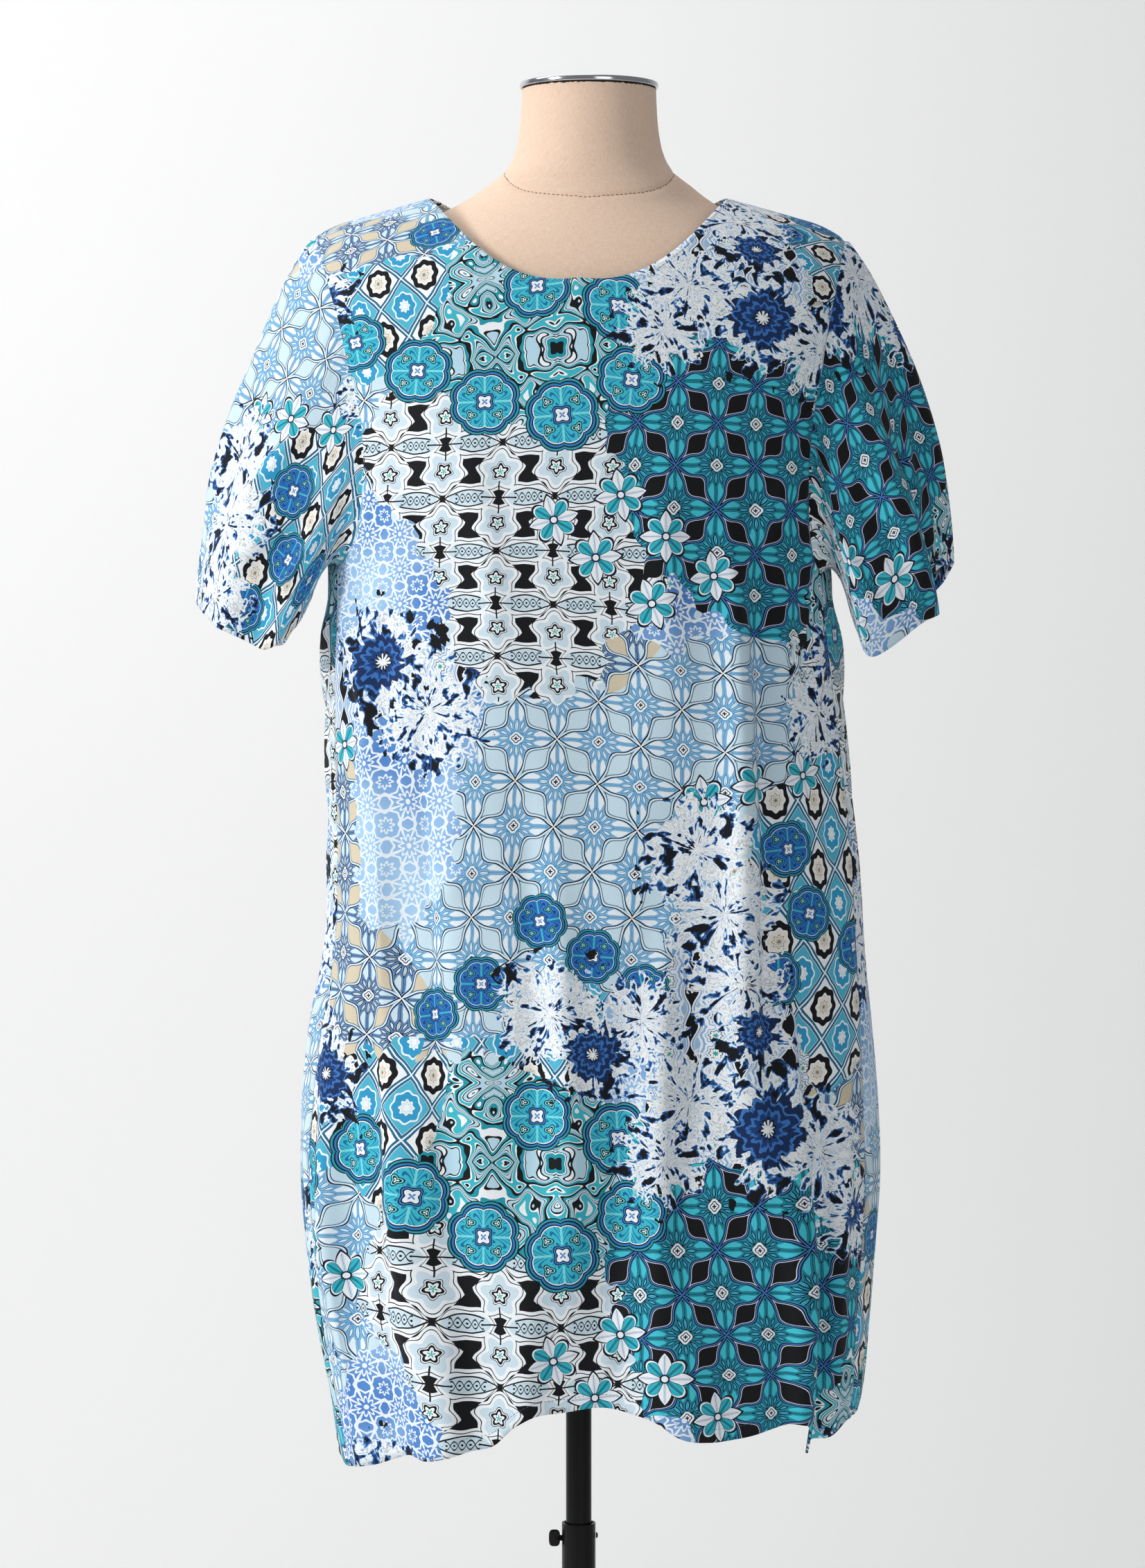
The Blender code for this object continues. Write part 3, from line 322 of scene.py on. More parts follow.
class DressShape:
    """The dress's surface without small creases, the same as the solids'."""

    @staticmethod
    def base_section(turn: Array, level: Array) -> tuple:
        """The body without folds.

        Above ARCH_LEVEL a section's depth shrinks as the cosine of the arch's angle while it rises as
        the sine, and the shoulders' slope is taken off the height.

        Args:
            turn: degrees round the body.
            level: height of the girth, or distance on over the arch.

        Returns:
            x, y and z.
        """
        low = np.minimum(level, ARCH_LEVEL)
        arch = np.clip((level - ARCH_LEVEL) / (RIDGE_LEVEL - ARCH_LEVEL), 0, 1) * math.pi / 2
        sine, cosine = np.sin(np.radians(turn)), np.cos(np.radians(turn))
        left, right, front, back = (
            smooth_at(low, BODY["level"], BODY[way]) for way in ("left", "right", "front", "back")
        )
        half = np.where(sine < 0, left, right) + ARCH_SPREAD * np.sin(arch)
        depth = np.where(cosine > 0, front, back)
        x = half * np.sign(sine) * np.abs(sine) ** ROUND
        y = -depth * np.cos(arch) * np.sign(cosine) * np.abs(cosine) ** ROUND
        out = np.abs(x)
        drop = SHOULDER_SLOPE * out + SHOULDER_BEND * np.maximum(out - SHOULDER_END, 0) ** 2
        z = low + ARCH_RISE * np.sin(arch) - drop * smooth_step(SLOPE_LEVEL, RIDGE_LEVEL, level)
        return x, y, z

    @staticmethod
    def fold_height(turn: Array, level: Array) -> Array:
        """How far the large folds stand out of the body: a sum of humps across their lines.

        Args:
            turn: degrees round the body.
            level: height of the girth.

        Returns:
            Heights.
        """
        out = np.zeros(np.broadcast(turn, level).shape)
        around = (turn + 90) % 360 - 90
        for top, middle, bottom, turn_top, turn_middle, turn_bottom, before, after, height in FOLDS:
            line = smooth_at(level, (bottom, middle, top), (turn_bottom, turn_middle, turn_top))
            reach = np.radians(around - line) * MEAN_RADIUS
            fade = 1 - smooth_step(top - FOLD_FADE * (top - bottom), top, level)
            out = out + height * fade * hump(reach, before, after)
        return out

    @staticmethod
    def this_side(turn: Array, level: Array) -> tuple:
        """Turn and level with a place past the ridge named as it is on the other side of it."""
        over = level > RIDGE_LEVEL
        return np.where(over, 180 - turn, turn), np.where(over, 2 * RIDGE_LEVEL - level, level)

    @classmethod
    def surface(cls, turn: Array, level: Array) -> Array:
        """Points on the outside of the body: its section, moved out along its normal by the folds.

        Args:
            turn: degrees round the body.
            level: height of the girth. A level past the ridge is on the other side of it.

        Returns:
            Points, with one more axis of 3.
        """
        turn, level = cls.this_side(turn, level)
        x, y, z = cls.base_section(turn, level)
        ahead = cls.base_section(turn + TURN_STEP, level)
        behind = cls.base_section(turn - TURN_STEP, level)
        dx, dy = ahead[0] - behind[0], ahead[1] - behind[1]
        length = np.hypot(dx, dy) + 1e-9
        out = cls.fold_height(turn, level)
        return np.stack([x + out * dy / length, y - out * dx / length, z], axis=-1)

    @classmethod
    def normal(cls, turn: Array, level: Array) -> Array:
        """The outward unit normal, from small steps around and up the surface."""
        around = cls.surface(turn + TURN_STEP, level) - cls.surface(turn - TURN_STEP, level)
        up = cls.surface(turn, level + LEVEL_STEP) - cls.surface(turn, level - LEVEL_STEP)
        return unit(np.cross(around, up))

    @classmethod
    def girth(cls, turn: Array, level: Array, middle: float) -> Array:
        """Distance round the body from a middle line to each turn, along its level and without folds.

        Args:
            turn: degrees round the body, in the chart that runs on over the ridge.
            level: in the same chart.
            middle: the turn of the middle line.

        Returns:
            Distances, below 0 on the side of smaller turns.
        """
        share = np.linspace(0, 1, GIRTH_POINTS).reshape(-1, *([1] * np.ndim(turn)))
        at = middle + (turn - middle)[None] * share
        x, y, _ = cls.base_section(*cls.this_side(at, np.broadcast_to(level, at.shape)))
        return np.hypot(np.diff(x, axis=0), np.diff(y, axis=0)).sum(axis=0) * np.sign(turn - middle)

    @staticmethod
    def hem_level(turn: Array) -> Array:
        """Level of the hem at a turn."""
        return smooth_at(np.where(turn < SEAM_TURN[-1], turn + 360, turn), HEM["turn"], HEM["level"])

    @staticmethod
    def seam_level(turn: Array) -> Array:
        """Level of the shoulder seam: where the arch is SHOULDER_SEAM_FORWARD in front of the ridge."""
        depth = BODY["front"][-1] * np.abs(np.cos(np.radians(turn))) ** ROUND
        arch = np.arccos(np.clip(SHOULDER_SEAM_FORWARD / depth, 0, 1))
        return ARCH_LEVEL + arch / (math.pi / 2) * (RIDGE_LEVEL - ARCH_LEVEL)

    @classmethod
    def spread(cls, points: Array, count: int) -> Array:
        """Places at even shares of a path's length over the body.

        Args:
            points: (turn, level) along the path.
            count: number of steps.

        Returns:
            (count + 1, 2).
        """
        steps = np.linalg.norm(np.diff(cls.surface(points[:, 0], points[:, 1]), axis=0), axis=1)
        length = np.concatenate([[0], np.cumsum(steps)])
        at = np.linspace(0, length[-1], count + 1)
        return np.stack([np.interp(at, length, points[:, 0]), np.interp(at, length, points[:, 1])], axis=1)

    @classmethod
    def armhole(cls, side: int, back: bool, count: int) -> Array:
        """The armhole from the underarm to the shoulder tip.

        Args:
            side: -1 or 1.
            back: True over the back, False over the front.
            count: number of steps.

        Returns:
            (turn, level) of count + 1 points.
        """
        turns, levels = (ARMHOLE_BACK if back else ARMHOLE_FRONT)[side]
        tip_level = float(cls.seam_level(np.array(SHOULDER_TIP_TURN)))
        turns = (*turns, side * (180 - SHOULDER_TIP_TURN if back else SHOULDER_TIP_TURN))
        levels = (*levels, 2 * RIDGE_LEVEL - tip_level if back else tip_level)
        rows = np.arange(len(turns))
        along = np.linspace(0, len(turns) - 1, EDGE_POINTS)
        path = np.stack([smooth_at(along, rows, turns), smooth_at(along, rows, levels)], axis=1)
        return cls.spread(path, count)

    @classmethod
    def top_edge(cls, back: bool, shoulder: int, neck: int) -> Array:
        """(turn, level) along one shoulder seam, the neckline and the other shoulder seam.

        The neckline is the lower arc of an ellipse between the neck points. For the back the seams lie
        past the ridge.

        Args:
            back: True for the back panel.
            shoulder: steps along each shoulder seam.
            neck: steps along the neckline.

        Returns:
            (2 * shoulder + neck + 1, 2).
        """
        centre = (NECK_POINT_TURN[-1] + NECK_POINT_TURN[1]) / 2
        half = (NECK_POINT_TURN[1] - NECK_POINT_TURN[-1]) / 2
        around = np.radians(np.linspace(-NECK_ARC, NECK_ARC, EDGE_POINTS))
        end = math.radians(NECK_ARC)
        dip = (np.cos(around) - math.cos(end)) / (1 - math.cos(end))
        turns = [
            np.linspace(-SHOULDER_TIP_TURN, NECK_POINT_TURN[-1], EDGE_POINTS),
            centre + half * np.sin(around) / math.sin(end),
            np.linspace(NECK_POINT_TURN[1], SHOULDER_TIP_TURN, EDGE_POINTS),
        ]
        levels = [cls.seam_level(turn) for turn in turns]
        if back:
            turns, levels = [180 - turn for turn in turns], [2 * RIDGE_LEVEL - level for level in levels]
        levels[1] = levels[1] + (NECKLINE_LEVEL[back] - levels[1]) * dip
        parts = [
            cls.spread(np.stack([turn, level], axis=1), count)
            for turn, level, count in zip(turns, levels, (shoulder, neck, shoulder))
        ]
        return np.concatenate([parts[0], parts[1][1:], parts[2][1:]])

    @staticmethod
    def blended_patch(bottom: Array, top: Array, left: Array, right: Array) -> Array:
        """A Coons patch: each inner point blends the four edges, less the part that they count twice.

        Args:
            bottom: the lower edge, from left to right.
            top: the upper edge, whose corners die away below it as t to the power TOP_FADE.
            left: the left edge, from bottom to top.
            right: the right edge.

        Returns:
            (rows, columns, 2).
        """
        s = np.linspace(0, 1, len(bottom))[None, :, None]
        t = np.linspace(0, 1, len(left))[:, None, None]
        soft = top.copy()
        for _ in range(round(TOP_SOFTENING * len(top) ** 2)):
            soft[1:-1] = (soft[:-2] + 2 * soft[1:-1] + soft[2:]) / 4
        across = (1 - s) * left[:, None] + s * right[:, None]
        upward = (1 - t) * bottom[None] + t * soft[None] + t**TOP_FADE * (top - soft)[None]
        corners = (1 - t) * ((1 - s) * bottom[0] + s * bottom[-1]) + t * ((1 - s) * top[0] + s * top[-1])
        return across + upward - corners

    @classmethod
    def panel_domain(cls, back: bool, columns: int, seam_rows: int, armhole_rows: int) -> Array:
        """The grid of the front or the back: a patch between its edges, relaxed inside them.

        Args:
            back: True for the back panel.
            columns: steps along the hem.
            seam_rows: steps up the side seam.
            armhole_rows: steps up the armhole.

        Returns:
            (turn, level), (rows, columns + 1, 2), hem first.
        """
        shoulder = round(columns * SHOULDER_SHARE[back])
        edges = {}
        for side in (-1, 1):
            seam = SEAM_TURN[side]
            levels = np.linspace(float(cls.hem_level(np.array(seam))), UNDERARM_LEVEL[side], seam_rows + 1)
            lower = np.stack([np.full(seam_rows + 1, seam), levels], axis=1)
            edges[side] = np.concatenate([lower[:-1], cls.armhole(side, back, armhole_rows)])
        top = cls.top_edge(back, shoulder, columns - 2 * shoulder)
        if back:
            start, end = edges[1], edges[-1].copy()
            end[:, 0] += 360
            top = top[::-1]
        else:
            start, end = edges[-1], edges[1]
        turns = np.linspace(start[0, 0], end[0, 0], columns + 1)
        bottom = np.stack([turns, cls.hem_level(turns)], axis=1)
        domain = cls.blended_patch(bottom, top, start, end)
        for _ in range(RELAX_PASSES):
            domain[1:-1, 1:-1] = (
                domain[:-2, 1:-1] + domain[2:, 1:-1] + domain[1:-1, :-2] + domain[1:-1, 2:]
            ) / 4
        return domain

    @classmethod
    def armhole_loop(cls, side: int, rows: int) -> tuple:
        """Round one armhole from the shoulder tip over the front, the underarm and the back.

        Args:
            side: -1 or 1.
            rows: steps along the front half, and along the back half.

        Returns:
            Points, and the directions in which the body's cloth would run on.
        """
        front = cls.armhole(side, False, rows)[::-1]
        back = cls.armhole(side, True, rows)[1:-1]
        points = np.concatenate([cls.surface(*front.T), cls.surface(*back.T)])
        normals = np.concatenate([cls.normal(*front.T), cls.normal(*back.T)])
        onward = unit(np.cross(np.roll(points, -1, axis=0) - np.roll(points, 1, axis=0), normals))
        if np.sum(onward * (points.mean(axis=0) - points)) < 0:
            onward = -onward
        return points, onward

    @classmethod
    def sleeve_surface(cls, side: int, half_columns: int, rows: int) -> tuple:
        """One sleeve. Each rib is a cubic Bezier curve from the armhole to the sleeve's hem.

        Args:
            side: -1 or 1.
            half_columns: columns round the front half.
            rows: rows from the armhole to the hem.

        Returns:
            Points (rows + 1, 2 * half_columns, 3), and their angles around.
        """
        start, onward = cls.armhole_loop(side, half_columns)
        around = np.arange(len(start)) * 360 / len(start)
        places, *columns = np.array(SLEEVES[side]).T
        out, forward, up, reach, rise_in, rise_forward, rise_up = (
            smooth_at(around, places, column / PER_METRE) for column in columns
        )
        end = np.stack([side * out, -forward, up], axis=1)
        rise = np.stack([-side * rise_in, -rise_forward, rise_up], axis=1)
        second = start + onward * reach[:, None]
        third = end + rise
        share = np.linspace(0, 1, rows + 1)
        share = (share + ROW_GROWTH * share**2) / (1 + ROW_GROWTH)
        t = share[:, None, None]
        points = ((1 - t) ** 3 * start + 3 * (1 - t) ** 2 * t * second
                  + 3 * (1 - t) * t * t * third + t**3 * end)
        folds = cls.sleeve_fold_height(side, around, share)[..., None]
        points = points + folds * grid_normals(points, True, side < 0)
        return points, around

    @staticmethod
    def sleeve_fold_height(side: int, around: Array, share: Array) -> Array:
        """How far a sleeve's large folds stand out.

        Args:
            side: -1 or 1.
            around: each column's angle.
            share: each row's share of the length.

        Returns:
            Heights, (rows, columns).
        """
        out = np.zeros((len(share), len(around)))
        for first, last, start, before, after, height in SLEEVE_FOLDS[side]:
            middle = first + (last - first) * share[:, None]
            distance = (around[None] - middle + 180) % 360 - 180
            out = out + height * smooth_step(start, 1.0, share)[:, None] * hump(distance, before, after)
        return out


# --- The print ---


class Family(Enum):
    """The grounds that the printed patches show, in the order of their channels."""

    OGEE_DARK = 0
    OGEE_PALE = 1
    OGEE_SAND = 2
    FILIGREE = 3
    LOBED = 4
    TRELLIS = 5
    COLUMNS = 6
    ARABESQUE = 7


class Motif(Enum):
    """Single motifs printed over the grounds."""

    TEAL_MEDALLION = 1
    BLUE_MEDALLION = 2
    STAR_FLOWER = 3


REPEAT = np.array([0.58, 0.60])  # width and height of the print's repeat
FAR = 9.0  # local coordinate of a face that no motif reaches, and the room below the form
# Patches of the repeat in millimetres: middle (across, up), and how much further each reaches than others
PATCHES = {
    Family.OGEE_DARK: ((115, 110, 62), (185, 150, 45), (75, 160, 20), (-280, 200, 10)),
    Family.OGEE_PALE: ((0, 460, 65), (-60, 390, 25), (85, 545, 30), (-225, 85, 30), (-200, 180, 5)),
    Family.OGEE_SAND: ((-215, 455, 20), (245, 260, 15), (30, 590, 0), (-170, 330, 10)),
    Family.FILIGREE: ((-125, 460, 25), (-155, 35, 25), (-125, 520, 10), (65, 5, 0), (40, 300, 0)),
    Family.LOBED: ((-40, 85, 45), (-15, 25, 30), (-100, 125, 20), (255, 580, 10)),
    Family.TRELLIS: ((-170, 255, 25), (185, 400, 40), (205, 330, 20), (-10, 310, 0)),
    Family.COLUMNS: ((110, 300, 35), (-265, 540, 10), (-150, 575, 5)),
    Family.ARABESQUE: ((-35, 205, 40), (245, 30, 5), (-245, 345, 0)),
}
# Motifs of the repeat: middle (across, up) and radius in millimetres, and turn in degrees
MOTIFS = {
    Motif.TEAL_MEDALLION: (
        (-168, 228, 26.5, 8), (-118, 198, 27.5, -6), (-68, 170, 27, 0), (-12, 158, 28, 4),
        (38, 185, 26.5, -5), (28, 240, 27, 3), (-30, 256, 26, 0), (-225, 205, 27, 12), (262, 100, 27, -9),
    ),
    Motif.BLUE_MEDALLION: (
        (-28, 395, 20.5, 10), (10, 370, 20.5, -4), (46, 345, 20, 12), (-70, 350, 20.5, 0),
        (-105, 328, 20, 8), (158, 445, 21.5, 5), (176, 398, 21, -12), (150, 352, 20.5, 0),
        (222, 372, 20.5, 9), (-262, 285, 20.5, 20),
    ),
    Motif.STAR_FLOWER: (
        (30, 100, 20.5, 10), (62, 70, 20.5, 0), (-18, 82, 20, 16), (12, 55, 20.5, 5), (52, 22, 20.5, 20),
        (98, 42, 20, 8), (128, 492, 20.5, 4), (172, 498, 20, 18), (90, 480, 20.5, 9), (-228, 505, 20, 0),
        (-188, 520, 20.5, 12), (-258, 420, 20.5, 6), (-222, 395, 20, 18), (226, 500, 20, 3),
        (262, 480, 20.5, 15), (-250, 128, 20.5, 8), (-215, 155, 20, 0), (-180, 135, 20, 11),
    ),
}
# Brushed flowers: middle (across, up) and radius in millimetres, turn in degrees, tone (1 navy, 0 pale)
BLOOMS = (
    (80, 265, 38, 0, 0), (135, 245, 44, 50, 0.9), (60, 225, 30, 110, 0), (185, 225, 40, 200, 0.1),
    (215, 180, 34, 120, 0.6), (105, 400, 42, 20, 0), (118, 350, 38, 80, 0.2), (85, 445, 38, 140, 0.1),
    (130, 315, 30, 15, 0.9), (-150, 580, 42, 30, 0.8), (-110, 545, 38, 100, 0.1), (-235, 300, 42, 10, 0.1),
    (-200, 280, 34, 70, 0.9), (-255, 10, 42, 160, 0.7), (-235, 60, 36, 60, 0), (-285, 120, 34, 60, 0.1),
    (215, 585, 36, 15, 0.8), (190, 545, 34, 75, 0.1), (-20, 330, 36, 40, 0.1), (10, 300, 32, 90, 0.9),
    (45, 325, 30, 190, 0),
)
MOTIF_REACH = 4.0  # in its radii: a face further off than this carries no motif
MOTIF_ROWS = np.array([row for rows in MOTIFS.values() for row in rows]) / ((PER_METRE,) * 3 + (1,))
MOTIF_KINDS = np.array([kind.value for kind, rows in MOTIFS.items() for _ in rows])
BLOOM_ROWS = np.array(BLOOMS) / (PER_METRE, PER_METRE, PER_METRE, 1, 1)
ROUND_SHARE, DIAMOND_SHARE = 0.5, 0.4  # of the two distances that shape a patch


def wrapped(distance: Array, period: Array) -> Array:
    """The same distance within half a period of 0, so that a repeat runs on over its edges."""
    return (distance + period / 2) % period - period / 2


@dataclass
class PrintLayout:
    """Where patches, motifs and blooms of the print fall on one cut piece.

    The cloth is one repeat after another, and each piece is cut from another place of it.
    """

    across: float
    up: float

    @property
    def cut(self) -> Array:
        """The piece's own zero in the print."""
        return np.array([self.across, self.up])

    def patch_channels(self, place: Array) -> Array:
        """How close each family's nearest patch is, at each point.

        The distance is a sum of shares of the round and the diamond distance to a patch's middle, less
        its reach, which gives patches slanting, slightly bowed edges.

        Args:
            place: across and up the flat piece, (points, 2).

        Returns:
            (points, families): the nearest patch's distance, in metres.
        """
        channels = []
        for family in Family:
            patches = np.array(PATCHES[family]) / PER_METRE
            away = np.abs(wrapped(place[:, None] + self.cut - patches[:, :2], REPEAT))
            near = ROUND_SHARE * np.hypot(away[..., 0], away[..., 1]) + DIAMOND_SHARE * away.sum(axis=-1)
            channels.append((near - patches[:, 2]).min(axis=1))
        return np.stack(channels, axis=1)

    def local(self, corners: Array, rows: Array) -> tuple:
        """Corner coordinates in the nearest of some placed motifs, in its radii.

        Each face picks its motif by its own middle, so that no face is shared by two.

        Args:
            corners: across and up, (faces, corners, 2).
            rows: across, up, radius and turn of each motif.

        Returns:
            Corner coordinates (faces, corners, 2) and each face's row in rows.
        """
        middles = corners.mean(axis=1)
        away = wrapped(middles[:, None] + self.cut - rows[:, :2], REPEAT)
        near = np.hypot(away[..., 0], away[..., 1]) / rows[:, 2]
        chosen = near.argmin(axis=1)
        middle = wrapped(middles + self.cut - rows[chosen, :2], REPEAT)
        from_middle = (middle[:, None] + corners - middles[:, None]) / rows[chosen, 2][:, None, None]
        x, y = from_middle[..., 0], from_middle[..., 1]
        turn = np.radians(rows[chosen, 3])[:, None]
        local = np.stack([x * np.cos(turn) + y * np.sin(turn), y * np.cos(turn) - x * np.sin(turn)], axis=-1)
        local[near.min(axis=1) > MOTIF_REACH] = FAR
        return local, chosen


# --- Meshes ---


def link_mesh(name: str, points: Array, faces: list, material: Material) -> Object:
    """Adds an object at the origin, shaded smooth.

    Args:
        name: its name.
        points: its points, in any number of rows.
        faces: lists of corners.
        material: its finish.

    Returns:
        The object.
    """
    mesh = bpy.data.meshes.new(name)
    mesh.from_pydata(np.asarray(points).reshape(-1, 3).tolist(), [], faces)
    mesh.materials.append(material)
    mesh.shade_smooth()
    made = bpy.data.objects.new(name, mesh)
    bpy.context.scene.collection.objects.link(made)
    return made


def grid_quads(rows: int, columns: int, closed: bool) -> Array:
    """Corner indices of a grid's quads, each run round from its lowest row.

    Args:
        rows: rows of points.
        columns: points in a row.
        closed: True if the last column joins the first.

    Returns:
        (quads, 4).
    """
    last = columns if closed else columns - 1
    row, column = np.meshgrid(np.arange(rows - 1), np.arange(last), indexing="ij")
    after = (column + 1) % columns
    low, high = row * columns, (row + 1) * columns
    return np.stack([low + column, low + after, high + after, high + column], axis=-1).reshape(-1, 4)


def closed_rings(rows: int, sides: int) -> list:
    """Faces of rings of points that two end points close.

    The points come ring by ring, then the one before the first ring, then the one past the last.

    Args:
        rows: number of rings.
        sides: points in a ring.

    Returns:
        Lists of corners: the quads, then a fan at each end.
    """
    step = np.arange(sides)
    after, count = (step + 1) % sides, rows * sides
    low = np.stack([np.full(sides, count), after, step], axis=1)
    high = np.stack([np.full(sides, count + 1), count - sides + step, count - sides + after], axis=1)
    return grid_quads(rows, sides, True).tolist() + low.tolist() + high.tolist()


def past_the_join(quads: Array, columns: int) -> Array:
    """True at the corners where a closed grid's last quads have come round to its first column."""
    return (quads % columns == 0) & (quads[:, :1] % columns == columns - 1)


CLOTH = 0.0009  # wall of one layer


@dataclass
class Shell:
    """A thin cloth wall over a grid: its outer face, its inner face, and rounded turned edges.

    flat is each point's place across and up the flat cloth, and around is how much further across it is
    once round a tube, or 0 where the piece is open.
    """

    outer: Array
    normals: Array
    flat: Array
    around: float = 0.0
    turned: bool = False
    thickness: float = CLOTH

    def build(self, name: str, layout: PrintLayout, material: Material) -> Object:
        """Puts the wall into a mesh with the maps and channels that the print reads.

        The grid is folded over its first and last row: outer rows, a rounded lip, inner rows. An open
        grid's two sides are closed by a strip between the walls.

        Args:
            name: the piece's name.
            layout: where the piece was cut from the print.
            material: the printed cloth.

        Returns:
            The object.
        """
        rows, columns = self.outer.shape[:2]
        closed = self.around != 0
        points = np.concatenate([self.outer, (self.outer - self.thickness * self.normals)[::-1]])
        place = np.concatenate([self.flat, self.flat[::-1]]).reshape(-1, 2)
        lip = grid_quads(2, columns, closed)
        first_row = np.where(lip < columns, lip + (2 * rows - 1) * columns, lip - columns)
        quads = np.concatenate([grid_quads(2 * rows, columns, closed), first_row])
        if not closed:
            low = np.arange(rows - 1) * columns
            high = (2 * rows - 1) * columns - low
            left = np.stack([low, low + columns, high - columns, high], axis=1)
            quads = np.concatenate([quads, left, left[:, ::-1] + columns - 1])
        corners = place[quads]
        corners[..., 0] += past_the_join(quads, columns) * self.around
        if self.turned:
            quads, corners = quads[:, ::-1], corners[:, ::-1]
        made = link_mesh(name, points, quads.tolist(), material)
        self.write_maps(made.data, layout, corners, place)
        return made

    @staticmethod
    def write_maps(mesh: bpy.types.Mesh, layout: PrintLayout, corners: Array, place: Array) -> None:
        """Writes the cloth's flat map, the two motif maps, the motif kinds and the patch channels.

        Args:
            mesh: the piece's mesh.
            layout: where the piece was cut from the print.
            corners: across and up at each face's corners, (faces, 4, 2).
            place: across and up of each point, (points, 2).
        """
        motif_map, motif = layout.local(corners, MOTIF_ROWS)
        bloom_map, bloom = layout.local(corners, BLOOM_ROWS)
        for name, values in (("cloth", corners + layout.cut), ("motif", motif_map), ("bloom", bloom_map)):
            mesh.uv_layers.new(name=name).data.foreach_set("uv", values.astype(np.float32).reshape(-1))
        tones = BLOOM_ROWS[bloom, 4]
        for name, values in (("motif_kind", MOTIF_KINDS[motif]), ("bloom_tone", tones), ("bloom_row", bloom)):
            mesh.attributes.new(name, "FLOAT", "FACE").data.foreach_set("value", values.astype(np.float32))
        channels = layout.patch_channels(place).astype(np.float32)
        for name, values in (("patch_a", channels[:, :4]), ("patch_b", channels[:, 4:])):
            mesh.attributes.new(name, "FLOAT_COLOR", "POINT").data.foreach_set("color", values.reshape(-1))
        mesh.uv_layers.active = mesh.uv_layers["cloth"]


# --- Shaders ---


def srgb(code: str) -> Colour:
    """A colour from its six hex digits, as linear red, green, blue and alpha."""
    parts = [int(code[at:at + 2], 16) / 255 for at in (0, 2, 4)]
    linear = [part / 12.92 if part <= 0.04045 else ((part + 0.055) / 1.055) ** 2.4 for part in parts]
    return (*linear, 1.0)


def math_node(operation: str, turned: bool = False) -> Callable:
    """A method of Value that adds a Math node, with the other value first if turned."""

    def method(self: Value, *others: object) -> Value:
        """The node's output."""
        return self.graph.maths(operation, *((*others, self) if turned else (self, *others)))

    return method


class Value:
    """A number in a shader. An operator or a method on it adds a Math node."""

    __add__ = __radd__ = math_node("ADD")
    __sub__, __rsub__ = math_node("SUBTRACT"), math_node("SUBTRACT", turned=True)
    __mul__ = __rmul__ = math_node("MULTIPLY")
    __truediv__, __pow__ = math_node("DIVIDE"), math_node("POWER")
    __lt__, __gt__ = math_node("LESS_THAN"), math_node("GREATER_THAN")
    __abs__ = math_node("ABSOLUTE")
    least, most = math_node("MINIMUM"), math_node("MAXIMUM")
    angle = math_node("ARCTAN2")  # of the vector (other, self), in radians

    def __init__(self, graph: Graph, socket: Socket) -> None:
        """Wraps an output socket."""
        self.graph, self.socket = graph, socket

    def maths(self, operation: str, *others: object) -> Value:
        """A Math node with this value first."""
        return self.graph.maths(operation, self, *others)

    def folded(self, period: float) -> Value:
        """Distance to the nearest whole number of periods, in periods: 0 to 0.5."""
        return self.graph.maths("PINGPONG", self * (1 / period), 0.5)

    def sine(self, rate: float = 1.0) -> Value:
        """The sine of rate times self."""
        return (self * rate).maths("SINE") if rate != 1 else self.maths("SINE")

    def cosine(self, rate: float = 1.0) -> Value:
        """The cosine of rate times self."""
        return (self * rate).maths("COSINE") if rate != 1 else self.maths("COSINE")

    def hypot(self, other: Value) -> Value:
        """The length of the vector (self, other, 0)."""
        vector = self.graph.node("ShaderNodeCombineXYZ", None, {0: self, 1: other}).outputs[0]
        made = self.graph.node("ShaderNodeVectorMath", {"operation": "LENGTH"}, {0: vector})
        return Value(self.graph, made.outputs["Value"])


